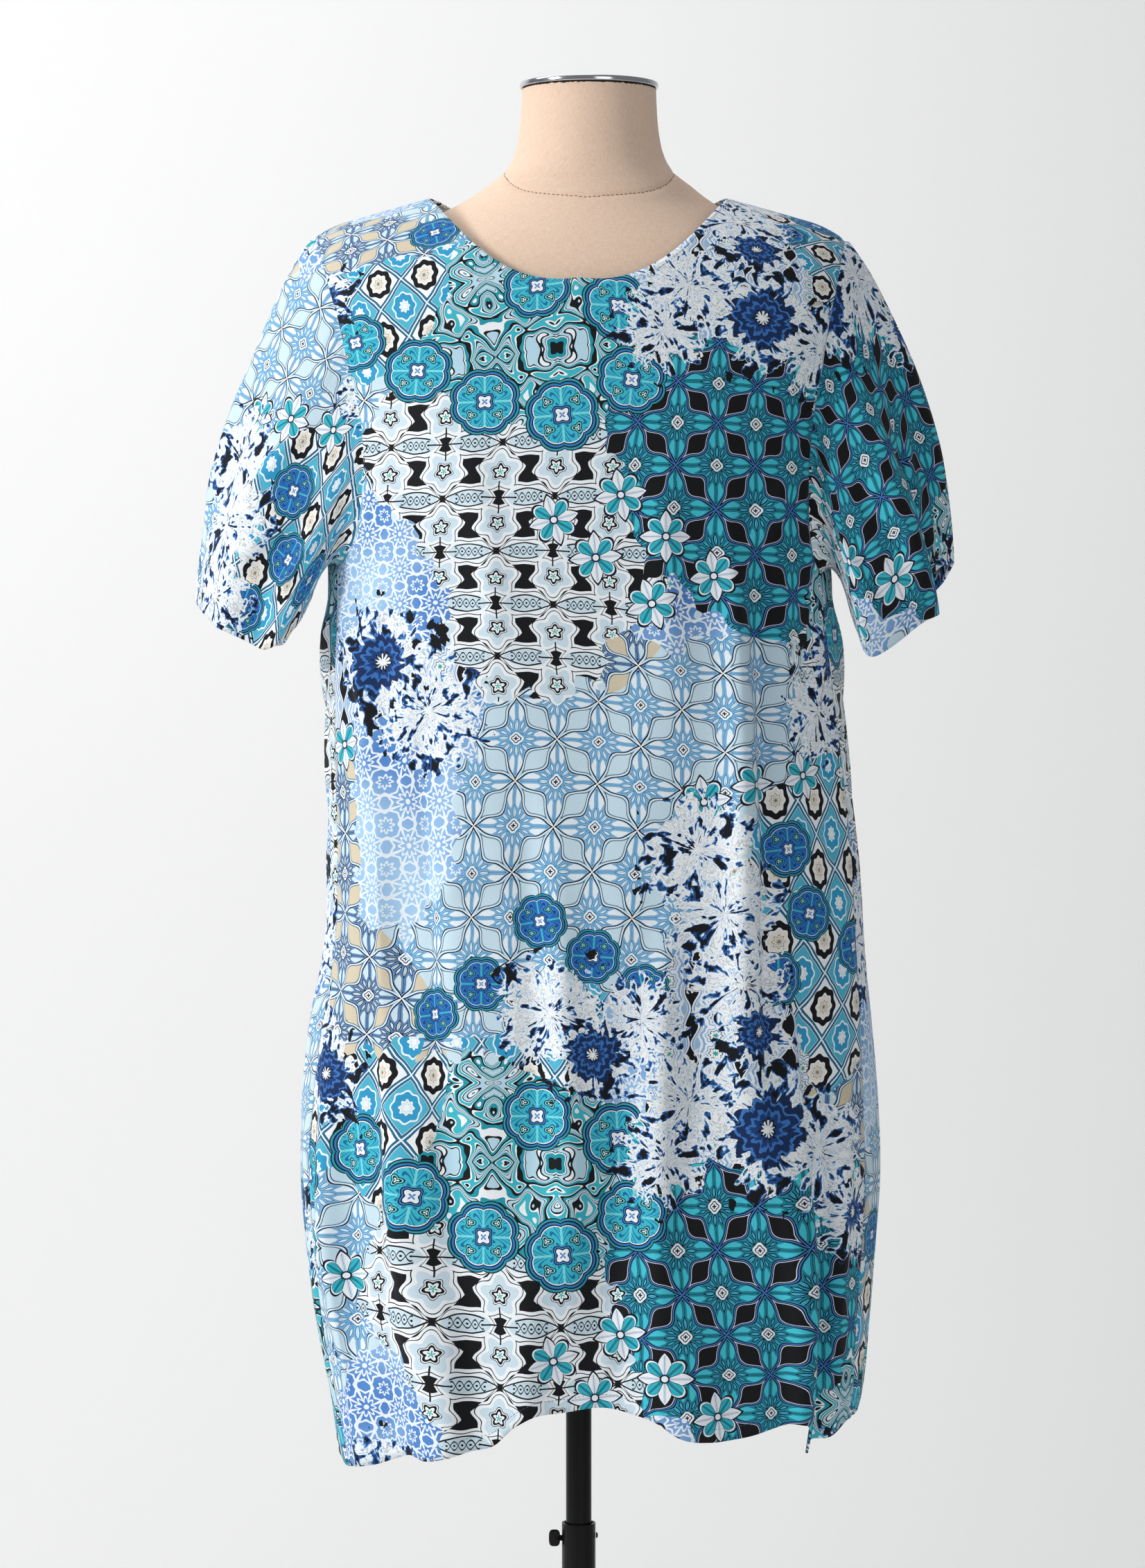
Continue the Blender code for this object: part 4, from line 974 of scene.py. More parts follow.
class Graph:
    """A material's node tree, with a Principled shader."""

    def __init__(self, name: str) -> None:
        """Starts a material of that name."""
        self.material = bpy.data.materials.new(name)
        self.material.use_nodes = True
        self.tree = self.material.node_tree
        self.shader = self.tree.nodes["Principled BSDF"]

    def node(self, kind: str, settings: dict | None = None, inputs: dict | None = None) -> Node:
        """Adds a node.

        Args:
            kind: the node's type.
            settings: properties to set first; stops sets a ramp's stops as (place, colour).
            inputs: values or links, by the socket's name or number.

        Returns:
            The node.
        """
        made = self.tree.nodes.new(kind)
        for key, value in (settings or {}).items():
            if key == "stops":
                ramp = made.color_ramp
                while len(ramp.elements) < len(value):
                    ramp.elements.new(1.0)
                for element, (place, colour) in zip(ramp.elements, value):
                    element.position, element.color = place, colour
            elif key == "ramp":
                made.color_ramp.interpolation = value
            else:
                setattr(made, key, value)
        for key, value in (inputs or {}).items():
            self.feed(made.inputs[key], value)
        return made

    def feed(self, socket: Socket, value: object) -> None:
        """Links a value to a socket, or sets the socket to a plain one."""
        if isinstance(value, Value):
            value = value.socket
        if isinstance(value, Socket):
            self.tree.links.new(value, socket)
        else:
            socket.default_value = value

    def maths(self, operation: str, *values: object) -> Value:
        """A Math node."""
        made = self.node("ShaderNodeMath", {"operation": operation}, dict(enumerate(values)))
        return Value(self, made.outputs[0])

    def soft_step(self, value: Value, low: float, high: float) -> Value:
        """0 below low and 1 above high, in a straight line between; turned round if low is above high."""
        made = self.node("ShaderNodeMapRange", None, {"Value": value, "From Min": low, "From Max": high})
        return Value(self, made.outputs[0])

    def mix(self, factor: object, first: object, second: object, blend: str = "MIX") -> Socket:
        """A colour between first and second."""
        settings = {"data_type": "RGBA", "blend_type": blend}
        return self.node("ShaderNodeMix", settings, {0: factor, 6: first, 7: second}).outputs[2]

    def ramp(self, value: Value, stops: tuple, kind: str = "CONSTANT") -> Socket:
        """A colour read from stops (place, hex colour or linear colour)."""
        colours = [(place, srgb(colour) if isinstance(colour, str) else colour) for place, colour in stops]
        return self.node("ShaderNodeValToRGB", {"ramp": kind, "stops": colours}, {0: value}).outputs[0]

    def noise(self, vector: object, scale: float, detail: float = 2.0, distortion: float = 0.0) -> Value:
        """Noise from 0 to 1."""
        made = self.node("ShaderNodeTexNoise", None,
                         {"Vector": vector, "Scale": scale, "Detail": detail, "Distortion": distortion})
        return Value(self, made.outputs[0])

    def place(self) -> Socket:
        """Object coordinates."""
        return self.node("ShaderNodeTexCoord").outputs["Object"]

    def map(self, name: str) -> tuple:
        """The two coordinates of a UV map, and their vector."""
        made = self.node("ShaderNodeUVMap", {"uv_map": name})
        parts = self.node("ShaderNodeSeparateXYZ", None, {0: made.outputs[0]})
        return Value(self, parts.outputs[0]), Value(self, parts.outputs[1]), made.outputs[0]

    def attribute(self, name: str) -> Value:
        """A number stored on the mesh."""
        made = self.node("ShaderNodeAttribute", {"attribute_name": name})
        return Value(self, made.outputs["Fac"])

    def channels(self, name: str) -> list:
        """The four numbers of a colour attribute."""
        made = self.node("ShaderNodeAttribute", {"attribute_name": name})
        parts = self.node("ShaderNodeSeparateColor", None, {0: made.outputs["Color"]})
        return [Value(self, parts.outputs[at]) for at in range(3)] + [Value(self, made.outputs["Alpha"])]

    def bump(self, height: Value, distance: float, strength: float, below: object = None) -> Socket:
        """A normal tilted by a height.

        Args:
            height: what to tilt by, as a share of distance.
            distance: metres.
            strength: 0 to 1.
            below: a normal that is tilted already.

        Returns:
            The normal.
        """
        inputs = {"Height": height, "Distance": distance, "Strength": strength}
        if below is not None:
            inputs["Normal"] = below
        return self.node("ShaderNodeBump", None, inputs).outputs[0]

    def finish(self, **sockets: object) -> Material:
        """Feeds the shader's sockets, with spaces in their names written as underscores."""
        for name, value in sockets.items():
            self.feed(self.shader.inputs[name.replace("_", " ")], value)
        return self.material


# --- Finishes ---

BLACK, WHITE, NAVY, ROYAL, TURQUOISE, SKY, SAND = (
    "0E0F14", "F2F7FA", "16365F", "2C5DA6", "30B0C8", "2F9CCB", "D5C9B0")


def plain_weave(u: Value, v: Value, thread: float) -> Value:
    """Warp over weft, from -1 to 1: the product of two sines, one turn for each thread."""
    return u.sine(2 * math.pi / thread) * v.sine(2 * math.pi / thread)


@dataclass(frozen=True)
class PrintedCloth:
    """Light viscose, printed with a patchwork of tile motifs.

    Each ground gives a colour and a relief: how far a point lies outside the ground's own shapes, which
    is added to its patch's distance, so that a patch ends along the outlines of its motifs.
    """

    roughness: float = 0.76
    sheen: float = 0.03
    drift: float = 0.032  # how far the grounds drift off their lattices, and how often in a metre
    drift_scale: float = 4.2
    wander: float = 0.0030  # a finer drift, as of a hand-drawn line
    wander_scale: float = 60.0
    thread: float = 0.00052  # between two threads of the weave
    ogee_cell: float = 0.042
    filigree_cell: float = 0.029
    lobed_cell: float = 0.060
    braid_loop: float = 0.082  # in lobed cells
    trellis_cell: tuple = (0.036, 0.050)
    column_cell: tuple = (0.034, 0.027)
    mirror: tuple = (0.092, 0.118)  # between the arabesque's mirror lines

    def ogee(self, graph: Graph, a: Value, b: Value) -> dict:
        """A lattice of bulbous lenses on the diagonals with a flower in each cell, in three colourings.

        A lens lies along each lattice line. Its half width rises as the fifth power of the sine of its
        place between two nodes, and nested outlines follow it. In the cell, eight petals of two lengths
        stand round a dotted disc.

        Args:
            graph: the material.
            a: rising diagonal coordinate.
            b: falling diagonal coordinate.

        Returns:
            A colour and a relief for each of the three families.
        """
        fa, fb = a.folded(self.ogee_cell), b.folded(self.ogee_cell)
        wide_a, wide_b = (
            s ** 5 * 0.20 + s * (1 - s) * 0.11 + 0.016 for s in (fa.sine(math.pi), fb.sine(math.pi))
        )
        lens = (fb - wide_a).least(fa - wide_b)
        cx, cy = 0.5 - fa, 0.5 - fb
        radius, turn = cx.hypot(cy), cy.angle(cx)
        four = turn.cosine(4)
        ray, between = abs(turn.sine(4)) * radius * 0.25, abs(four) * radius * 0.25
        long_leaf = ray - (radius - 0.10).sine(math.pi / 0.24).most(0.0) * 0.030
        short_leaf = between - (radius - 0.15).sine(math.pi / 0.17).most(0.0) * 0.024
        leaves = long_leaf.least(short_leaf)
        vein = ray.most(leaves * 4 + 0.012)
        result = {}
        for family, (body, edge, band, line, ground, leaf, leaf_line, light) in {
            Family.OGEE_DARK: (BLACK, "DCE4EE", BLACK, "0C1222", "22A2BA", "45C6D8", "090F1C", "4A7FD0"),
            Family.OGEE_PALE: ("CBE3EF", BLACK, "A9D4EC", BLACK, "97C0E6", "E9F3F8", "3F93BE", WHITE),
            Family.OGEE_SAND: (SAND, BLACK, "A9CFEA", BLACK, "6F9FDA", "CFE4EA", BLACK, WHITE),
        }.items():
            petals = graph.ramp(leaves * 14.0 + 0.5, (
                (0.0, leaf), (0.32, light), (0.37, leaf_line), (0.57, ground), (0.68, leaf_line),
                (0.76, ground), (0.89, leaf_line), (0.965, leaf)))
            petals = graph.mix(vein < 0.0028, petals, srgb(leaf_line))
            disc = graph.ramp(radius * 5.0 + four * 0.05, (
                (0.0, BLACK), (0.13, WHITE), (0.27, NAVY), (0.36, WHITE), (0.52, leaf_line)))
            colour = graph.mix(radius < 0.115, petals, disc)
            rim = light if body == BLACK else WHITE
            outline = graph.ramp(lens * 2.0 + 0.46, (
                (0.0, body), (0.340, edge), (0.364, band), (0.402, rim), (0.430, line), (0.476, ground)))
            result[family] = (graph.mix(lens < 0.020, colour, outline), lens * 0.055)
        return result

    def filigree(self, graph: Graph, u: Value, v: Value, flat: object) -> tuple:
        """White lace flowers of nested petals on periwinkle that darkens in slow clouds."""
        fu, fv = u.folded(self.filigree_cell), v.folded(self.filigree_cell)
        near = fu.hypot(fv)
        gu, gv = 0.5 - fu, 0.5 - fv
        far = gu.hypot(gv)
        eight, other = fv.angle(fu).cosine(8), gv.angle(gu).cosine(8)
        lace = abs(near - (eight * 0.055 + 0.19)).least(abs(near - (0.39 - eight * 0.045)))
        lace = lace.least(abs(far - (other * 0.035 + 0.13))).least(near - 0.035)
        lace = lace.least(abs(eight + 0.92) * 0.2 + (near < 0.12))
        cloudy = graph.noise(flat, 11.0, 1.0)
        ground = graph.mix(graph.soft_step(cloudy, 0.36, 0.62), srgb("A6CDEE"), srgb("5286CB"))
        return graph.mix(graph.soft_step(lace, 0.034, 0.022), ground, srgb("E9F2F9")), (near - 0.3) * 0.012

    def lobed(self, graph: Graph, a: Value, b: Value) -> tuple:
        """Pale flowers on black: two lobed bulbs with a bud, and two pointed leaves with looped braid."""
        ra, rb = a * (1 / self.lobed_cell), b * (1 / self.lobed_cell)
        da, db = ra - ra.maths("ROUND"), rb - rb.maths("ROUND")
        x, y = abs(da + db) * 0.707, abs(da - db) * 0.707
        rise = y - 0.34
        middle = x.hypot(rise)
        five = x.angle(rise).cosine(5)
        bulb = middle - (five * 0.040 + 0.288)
        place = graph.soft_step(x, 0.03, 0.69)
        arch = place.sine(math.pi)
        leaf = y - arch * 0.232 - place.sine(3 * math.pi) * 0.045
        shape = bulb.least(leaf)
        bead = ((x * (1 / self.braid_loop)).maths("FRACT") - 0.5) * self.braid_loop
        strand = abs(y - abs(x.sine(math.pi / self.braid_loop)) * 0.052)
        braid = strand.least(bead.hypot(y) - 0.004).most(abs(x - 0.37) - 0.17)
        vein, collar = abs(y - arch * 0.105).most(0.19 - x), abs(bulb + 0.085).most(0.30 - rise.most(x * 0.6))
        braid = braid.least(vein).least(collar).least(y.most(x - 0.19)).least(x.most(y - 0.20))
        bud = middle - five * 0.018
        colour = graph.ramp(shape * 3.0 + 0.6, (
            (0.0, "CFE3EE"), (0.30, WHITE), (0.44, BLACK), (0.475, WHITE), (0.580, BLACK)))
        seed = graph.ramp(bud * 6.0, (
            (0.0, "3FB3A8"), (0.14, WHITE), (0.34, BLACK), (0.52, WHITE), (0.60, BLACK), (0.655, "D3E5F0")))
        colour = graph.mix(bud < 0.122, colour, seed)
        return graph.mix(braid < 0.0090, colour, srgb(BLACK)), shape * 0.075

    def trellis(self, graph: Graph, u: Value, v: Value) -> tuple:
        """Lozenges between navy and teal bars: cream tiles on black, in turn with sky blue and white."""
        across, up = u * (1 / self.trellis_cell[0]), v * (1 / self.trellis_cell[1])
        a, b = across + up, across - up
        fa, fb = a.maths("PINGPONG", 0.5), b.maths("PINGPONG", 0.5)
        edge = fa.least(fb)
        odd = ((a.maths("FLOOR") + b.maths("FLOOR")) * 0.5).maths("FRACT") > 0.25
        cx, cy = 0.5 - fa, 0.5 - fb
        core = cx.hypot(cy)
        tile = core - cy.angle(cx).cosine(8) * 0.022
        cream = graph.ramp(tile * 2.0, (
            (0.0, BLACK), (0.05, SAND), (0.16, WHITE), (0.22, BLACK), (0.25, "F1E9DA"), (0.44, WHITE),
            (0.52, BLACK), (0.80, WHITE)))
        sky = graph.ramp(tile * 2.0, (
            (0.0, WHITE), (0.16, "BFDDEA"), (0.20, WHITE), (0.30, SKY), (0.62, WHITE), (0.70, "4FB6D2")))
        bars = graph.ramp(edge * 6.0, (
            (0.0, WHITE), (0.10, "1E6F93"), (0.34, NAVY), (0.42, WHITE), (0.52, BLACK)))
        return graph.mix(edge < 0.080, graph.mix(odd, cream, sky), bars), (tile - 0.3) * 0.02

    def columns(self, graph: Graph, u: Value, v: Value) -> tuple:
        """Columns of black drops between small lobed tiles on white and periwinkle."""
        fu, fv = u.folded(self.column_cell[0]), v.folded(self.column_cell[1])
        drop = fu - fv.sine(math.pi) ** 2 * 0.135 - 0.008
        gx, gy = 0.5 - fu, abs(fv - 0.25) * 0.79
        gem = gx.hypot(gy) - gx.angle(gy).cosine(8) * 0.016
        tiles = graph.ramp(gem * 2.5, (
            (0.0, "2FA79C"), (0.12, WHITE), (0.26, BLACK), (0.305, "E4EEF5"), (0.42, "7DAAE0"), (0.47, WHITE),
            (0.60, "8DB6E4"), (0.72, WHITE), (0.86, "9CC3E8")))
        lines = graph.ramp(drop * 3.0 + 0.5, (
            (0.0, BLACK), (0.50, WHITE), (0.60, "7DAAE0"), (0.68, WHITE), (0.74, BLACK), (0.763, WHITE)))
        return graph.mix(drop < 0.095, tiles, lines), drop * 0.02

    def arabesque(self, graph: Graph, u: Value, v: Value) -> tuple:
        """Contour lines of a noise that is mirrored in both directions, in black on white and turquoise."""
        x, y = (way.folded(period) * period for way, period in zip((u, v), self.mirror))
        place = graph.node("ShaderNodeCombineXYZ", None, {0: x, 1: y})
        level = graph.noise(place.outputs[0], 44.0, 0.4, 0.8)
        colour = graph.ramp((level * 4.4).maths("FRACT"), (
            (0.0, BLACK), (0.13, WHITE), (0.20, "3DB8C8"), (0.40, WHITE), (0.46, BLACK), (0.53, "B9DCEC"),
            (0.68, BLACK), (0.73, WHITE), (0.79, "1F98AA"), (0.96, BLACK)))
        return colour, (level - 0.5) * 0.03

    @staticmethod
    def motifs(graph: Graph, below: object) -> Socket:
        """Medallions and star flowers, drawn in their own local coordinates, over what is below."""
        x, y, _ = graph.map("motif")
        kind = graph.attribute("motif_kind")
        radius = x.hypot(y)
        turn = y.angle(x)
        four, ribs = turn.cosine(4), abs(turn.sine(4))
        ring = radius / (ribs ** 0.7 * 0.105 + 0.895)
        fx, fy = abs(x), abs(y)
        curl = (fx - 0.37).hypot(fy - 0.37)
        sprig = abs((radius * 24 - ribs * radius * 14).sine()) + (curl < 0.17) * 2
        spot = curl * 9 + (fy - 0.37).angle(fx - 0.37).cosine(3) * 0.35
        centre = radius + four * 0.042
        layers = []
        for fill, leaf, dark, light, bright in (
            ("3CBBD2", "146F9C", "0C1828", WHITE, "7ADCE0"),
            ("2A74C2", "123C7A", "0B1020", "BFE9EE", "3FB9C4"),
        ):
            colour = graph.mix(sprig < 0.42, srgb(fill), srgb(leaf))
            colour = graph.mix(spot < 1.5, colour, graph.ramp(spot * 0.5, (
                (0.0, light), (0.14, dark), (0.36, bright), (0.50, dark), (0.64, fill))))
            colour = graph.mix(fx.least(fy).most(0.30 - radius) < 0.030, colour, srgb(bright))
            colour = graph.mix(centre < 0.28, colour, graph.ramp(centre * 3.0, (
                (0.0, "4F86C8"), (0.17, WHITE), (0.50, dark), (0.60, "3E7FC8"), (0.70, dark), (0.79, fill))))
            layers.append(graph.mix(ring > 0.76, colour, graph.ramp(ring * 0.9, (
                (0.0, light), (0.705, dark), (0.738, "2E7FC0"), (0.783, dark), (0.818, "2F9FB4"),
                (0.862, dark)))))
        place = turn.folded(math.pi / 4) * 2
        reach = graph.mix(four > 0.0, place * place * -0.24 + 0.90, place * -0.40 + 1.0)
        star = radius / Value(graph, reach)
        leaf = ribs * radius
        white = graph.ramp(leaf * 3.0, ((0.0, ROYAL), (0.09, WHITE), (0.34, "A8C8EC"), (0.5, WHITE)))
        blue = graph.ramp(leaf * 3.0, ((0.0, "0C4E6E"), (0.10, "1F93A8"), (0.60, "3FBFC9"), (1.0, TURQUOISE)))
        flower = graph.mix(four > 0.0, blue, white)
        flower = graph.mix(abs(four) * radius < 0.045, flower, srgb("10223A"))
        flower = graph.mix(radius < 0.16, flower, graph.ramp(radius * 4.0, ((0.0, WHITE), (0.42, "10223A"))))
        flower = graph.mix(star > 0.83, flower, graph.ramp(star, ((0.0, WHITE), (0.895, "10182A"))))
        colour = graph.mix(kind > 1.5, layers[0], layers[1])
        colour = graph.mix(kind > 2.5, colour, flower)
        outline = ring + (kind > 2.5) * (star - ring)
        return graph.mix(graph.soft_step(outline, 1.0, 0.985), below, colour)

    @staticmethod
    def blooms(graph: Graph, below: object) -> Socket:
        """Brushed flowers over what is below.

        Slow noise round and along the radius gives petals and a ragged edge, and a finer one breaks them
        into blots. The dark ones have a blue heart with rays.

        Args:
            graph: the material.
            below: the colour under them.

        Returns:
            The colour with them.
        """
        x, y, vector = graph.map("bloom")
        tone = graph.attribute("bloom_tone")
        row = graph.attribute("bloom_row")
        radius = x.hypot(y)
        turn = y.angle(x)
        place = graph.node("ShaderNodeCombineXYZ", None, {
            0: turn.cosine() + row * 3.1, 1: turn.sine(), 2: radius * 0.7})
        petals = graph.noise(place.outputs[0], 2.3, 3.0, 1.3)
        blots = graph.noise(vector, 3.4, 3.0, 0.8)
        ink = petals * 0.75 + blots * 0.62 - tone * 0.05
        colour = graph.ramp(ink, (
            (0.0, BLACK), (0.570, "1D4A86"), (0.598, "4F86C8"), (0.616, "BFD9EC"), (0.632, WHITE),
            (0.690, "C9CFD2"), (0.712, WHITE), (0.765, "8FB6DE"), (0.780, "DDE3E4"), (0.800, WHITE),
            (0.835, "5B8FD0"), (0.850, BLACK)))
        rays = (turn * 11 + petals * 9).sine()
        heart = graph.ramp(radius * 1.1 + rays * 0.05 + blots * 0.25, (
            (0.0, WHITE), (0.22, BLACK), (0.28, "1A3E78"), (0.40, "3B74BE"), (0.47, "16305E"),
            (0.60, "3F7AC4"), (0.66, "122A52")))
        colour = graph.mix(radius + rays * 0.06 + (petals - 0.5) * 0.5 < tone * 0.62, colour, heart)
        reach = radius + (petals - 0.5) * 2.3 + (blots - 0.5) * 0.9
        return graph.mix(reach < 0.98, below, colour)

    def build(self) -> Material:
        """The whole material: grounds by patch, motifs, blooms, weave and a soft hand.

        The ground whose patch distance plus relief is least shows at each point.

        Returns:
            The material.
        """
        graph = Graph("printed_viscose")
        flat = sewn = graph.map("cloth")[2]
        for scale, detail, size in (
            (self.wander_scale, 1.0, self.wander), (self.drift_scale, 0.0, self.drift),
        ):
            away = graph.node("ShaderNodeTexNoise", None, {"Vector": sewn, "Scale": scale, "Detail": detail})
            inputs = {0: away.outputs["Color"], "Scale": size}
            shift = graph.node("ShaderNodeVectorMath", {"operation": "SCALE"}, inputs)
            flat = graph.node("ShaderNodeVectorMath", None, {0: flat, 1: shift.outputs[0]}).outputs[0]
        parts = graph.node("ShaderNodeSeparateXYZ", None, {0: flat})
        u, v = Value(graph, parts.outputs[0]), Value(graph, parts.outputs[1])
        a, b = (u + v) * 0.70711, (u - v) * 0.70711
        grounds = {
            **self.ogee(graph, a, b),
            Family.FILIGREE: self.filigree(graph, u, v, flat),
            Family.LOBED: self.lobed(graph, a, b),
            Family.TRELLIS: self.trellis(graph, u, v),
            Family.COLUMNS: self.columns(graph, u, v),
            Family.ARABESQUE: self.arabesque(graph, u, v),
        }
        near = graph.channels("patch_a") + graph.channels("patch_b")
        colour, relief = grounds[Family.OGEE_DARK]
        least = near[0] + relief
        for family in list(Family)[1:]:
            ground, relief = grounds[family]
            reach = near[family.value] + relief
            colour = graph.mix(reach < least, colour, ground)
            least = least.least(reach)
        colour = self.blooms(graph, self.motifs(graph, colour))
        weave = plain_weave(u, v, self.thread)
        slub = graph.noise(sewn, 900.0, 1.0)
        uneven = graph.mix(slub, (0.90, 0.90, 0.90, 1), (1.06, 1.06, 1.06, 1))
        colour = graph.mix(1.0, colour, uneven, "MULTIPLY")
        crumple = graph.noise(sewn, 70.0, 3.0, 0.4)
        normal = graph.bump(crumple, 0.0009, 0.35)
        normal = graph.bump(weave * 0.5 + slub * 0.6, 0.00010, 0.5, normal)
        return graph.finish(Base_Color=colour, Roughness=self.roughness + (slub - 0.5) * 0.12, Normal=normal,
                            Sheen_Weight=self.sheen, Sheen_Roughness=0.45, Specular_IOR_Level=0.22)


@dataclass(frozen=True)
class LinenCover:
    """The form's cover: plain unbleached linen, woven closely, with slightly thick and thin threads."""

    thread: float = 0.00062
    top: float = 1.5548  # above this level the cover is coloured near black with a ragged edge: painted shade under the cap's rim

    def build(self) -> Material:
        """Warp and weft from the cover's own map, with slubs drawn out along each thread."""
        graph = Graph("linen_cover")
        u, v, flat = graph.map("cover")
        weave = plain_weave(u, v, self.thread)
        slub_u, slub_v = (
            graph.noise(graph.node("ShaderNodeMapping", None, {0: flat, 3: stretch}).outputs[0], 1500.0, 2.0)
            for stretch in ((1.0, 0.14, 1.0), (0.12, 1.0, 1.0))
        )
        slub = slub_u * 0.5 + slub_v * 0.5
        colour = graph.ramp(slub + weave * 0.030, (
            (0.22, "D3B096"), (0.42, "E6C8AF"), (0.56, "EDD1BB"), (0.80, "F4DFCD")), "LINEAR")
        cloudy = graph.noise(flat, 12.0, 2.0)
        clouds = graph.mix(cloudy, (0.90, 0.88, 0.86, 1), (1.0, 1.0, 1.0, 1))
        colour = graph.mix(0.5, colour, clouds, "MULTIPLY")
        place = graph.place()
        height = Value(graph, graph.node("ShaderNodeSeparateXYZ", None, {0: place}).outputs[2])
        # painted shade: above this level the cover turns near black, with a ragged edge, as the shadow under
        # the neck cap's rim
        shade_edge_level = height + (graph.noise(place, 420.0, 2.0) - 0.5) * 0.0022
        colour = graph.mix(shade_edge_level > self.top, colour, srgb("1A1614"))
        normal = graph.bump(weave * 0.5 + slub, 0.00011, 0.5)
        return graph.finish(Base_Color=colour, Roughness=0.86 + slub * 0.1, Normal=normal, Sheen_Weight=0.15)


@dataclass(frozen=True)
class PlainFinish:
    """A hard finish whose roughness is uneven: metal plate, paint or moulded plastic."""

    name: str
    colour: str
    roughness: float
    metallic: float = 0.0
    uneven: float = 0.08
    grain: float = 0.00002
    specular: float = 0.5

    def build(self) -> Material:
        """Smudges change the roughness and the colour a little, and a fine grain tilts the normal."""
        graph = Graph(self.name)
        place = graph.place()
        smudge, grain = graph.noise(place, 28.0, 4.0, 0.3), graph.noise(place, 1400.0, 2.0)
        base = srgb(self.colour)
        light = tuple(min(1.0, part * 1.18 + 0.004) for part in base[:3]) + (1.0,)
        return graph.finish(
            Base_Color=graph.mix(smudge, base, light),
            Roughness=self.roughness + (smudge - 0.5) * self.uneven,
            Normal=graph.bump(grain, self.grain, 0.6),
            Metallic=self.metallic,
            Specular_IOR_Level=self.specular,
        )


@dataclass(frozen=True)
class SewingThread:
    """Spun thread: a fine twist along Object coordinates, in one dyed colour."""

    name: str
    colour: str

    def build(self) -> Material:
        """Fibres lighten and darken the dye, and tilt the normal."""
        graph = Graph(self.name)
        fibre = graph.noise(graph.place(), 4200.0, 2.0)
        base = srgb(self.colour)
        dark = tuple(part * 0.72 for part in base[:3]) + (1.0,)
        return graph.finish(Base_Color=graph.mix(fibre, dark, base), Roughness=0.8 + (fibre - 0.5) * 0.1,
                            Normal=graph.bump(fibre, 0.00006, 0.8))


# --- Sewn pieces ---

PUCKER_WAVE = 2 * math.pi / 0.0105
SEAM_START = 0.003  # puckers grow over this distance from their seam
SEAM_DIP, SEAM_HALF_WIDTH = 0.0010, 0.0030  # the cloth rolls in at a seam
HEM_PUCKER, HEM_PUCKER_REACH = 0.00025, 0.008
ARMHOLE_PUCKER, ARMHOLE_PUCKER_REACH, ARMHOLE_GROWTH = 0.0011, 0.011, 0.02
SLEEVE_PUCKER, SLEEVE_PUCKER_REACH = 0.0014, 0.014
PANEL_EDGE, SLEEVE_EDGE = (0.001, 0.035), (0.003, 0.035)  # creases grow over these distances from an edge
TURNING = 0.011  # how far a hem is turned in
TURNING_SHARES = (0.02, 0.35, 0.7, 1.0)  # rows of the turned strip
TURNING_CLEAR, TURNING_CLOTH = 0.0001, 0.0006  # its distance from the cloth that it lies on, and its wall
PANEL_HEM_LINE, SLEEVE_HEM_LINE, NECK_LINE = 0.0095, 0.0115, 0.0065  # stitches' distances from an edge
FORM_CLEAR, FORM_SOFT = 0.0006, 0.0004  # least gap between cloth and form, and how softly a trough meets it
STITCH_SIDES = 6
STITCH_STATIONS = np.array([-1.0, -0.55, 0.0, 0.55, 1.0])  # along a stitch: its ends are points


def lengths(points: Array, axis: int) -> Array:
    """Distance along a grid's rows or columns from its first one, at each point."""
    steps = np.linalg.norm(np.diff(points, axis=axis), axis=-1)
    first = np.zeros_like(np.take(steps, [0], axis=axis))
    return np.concatenate([first, np.cumsum(steps, axis=axis)], axis=axis)


def puckers(edge: Array, along: Array, reach: float) -> Array:
    """Small uneven gathers that start at a seam, at heights from -1 to 1, and die away from it.

    Args:
        edge: distance from the seam.
        along: distance along it.
        reach: distance over which they fade.

    Returns:
        Heights.
    """
    wave = np.sin(PUCKER_WAVE * along + 1.4 * np.sin(43 * along) + 0.8 * np.sin(17 * along + 1))
    size = 0.6 + 0.4 * np.sin(61 * along + 1)
    return wave * size * np.exp(-edge / reach) * smooth_step(0, SEAM_START, edge)


def line_across(values: Array, places: Array, at: float) -> Array:
    """Values on a grid's surface where each column's place reaches a number, one for each column.

    Args:
        values: (rows, columns, 3).
        places: rising along each column, (rows, columns).
        at: the number.

    Returns:
        (columns, 3).
    """
    above = np.clip((places < at).sum(axis=0), 1, len(places) - 1)[None]
    low, high = np.take_along_axis(places, above - 1, 0), np.take_along_axis(places, above, 0)
    share = ((at - low) / (high - low))[..., None]
    start = np.take_along_axis(values, above[..., None] - 1, 0)
    end = np.take_along_axis(values, above[..., None], 0)
    return (start * (1 - share) + end * share)[0]


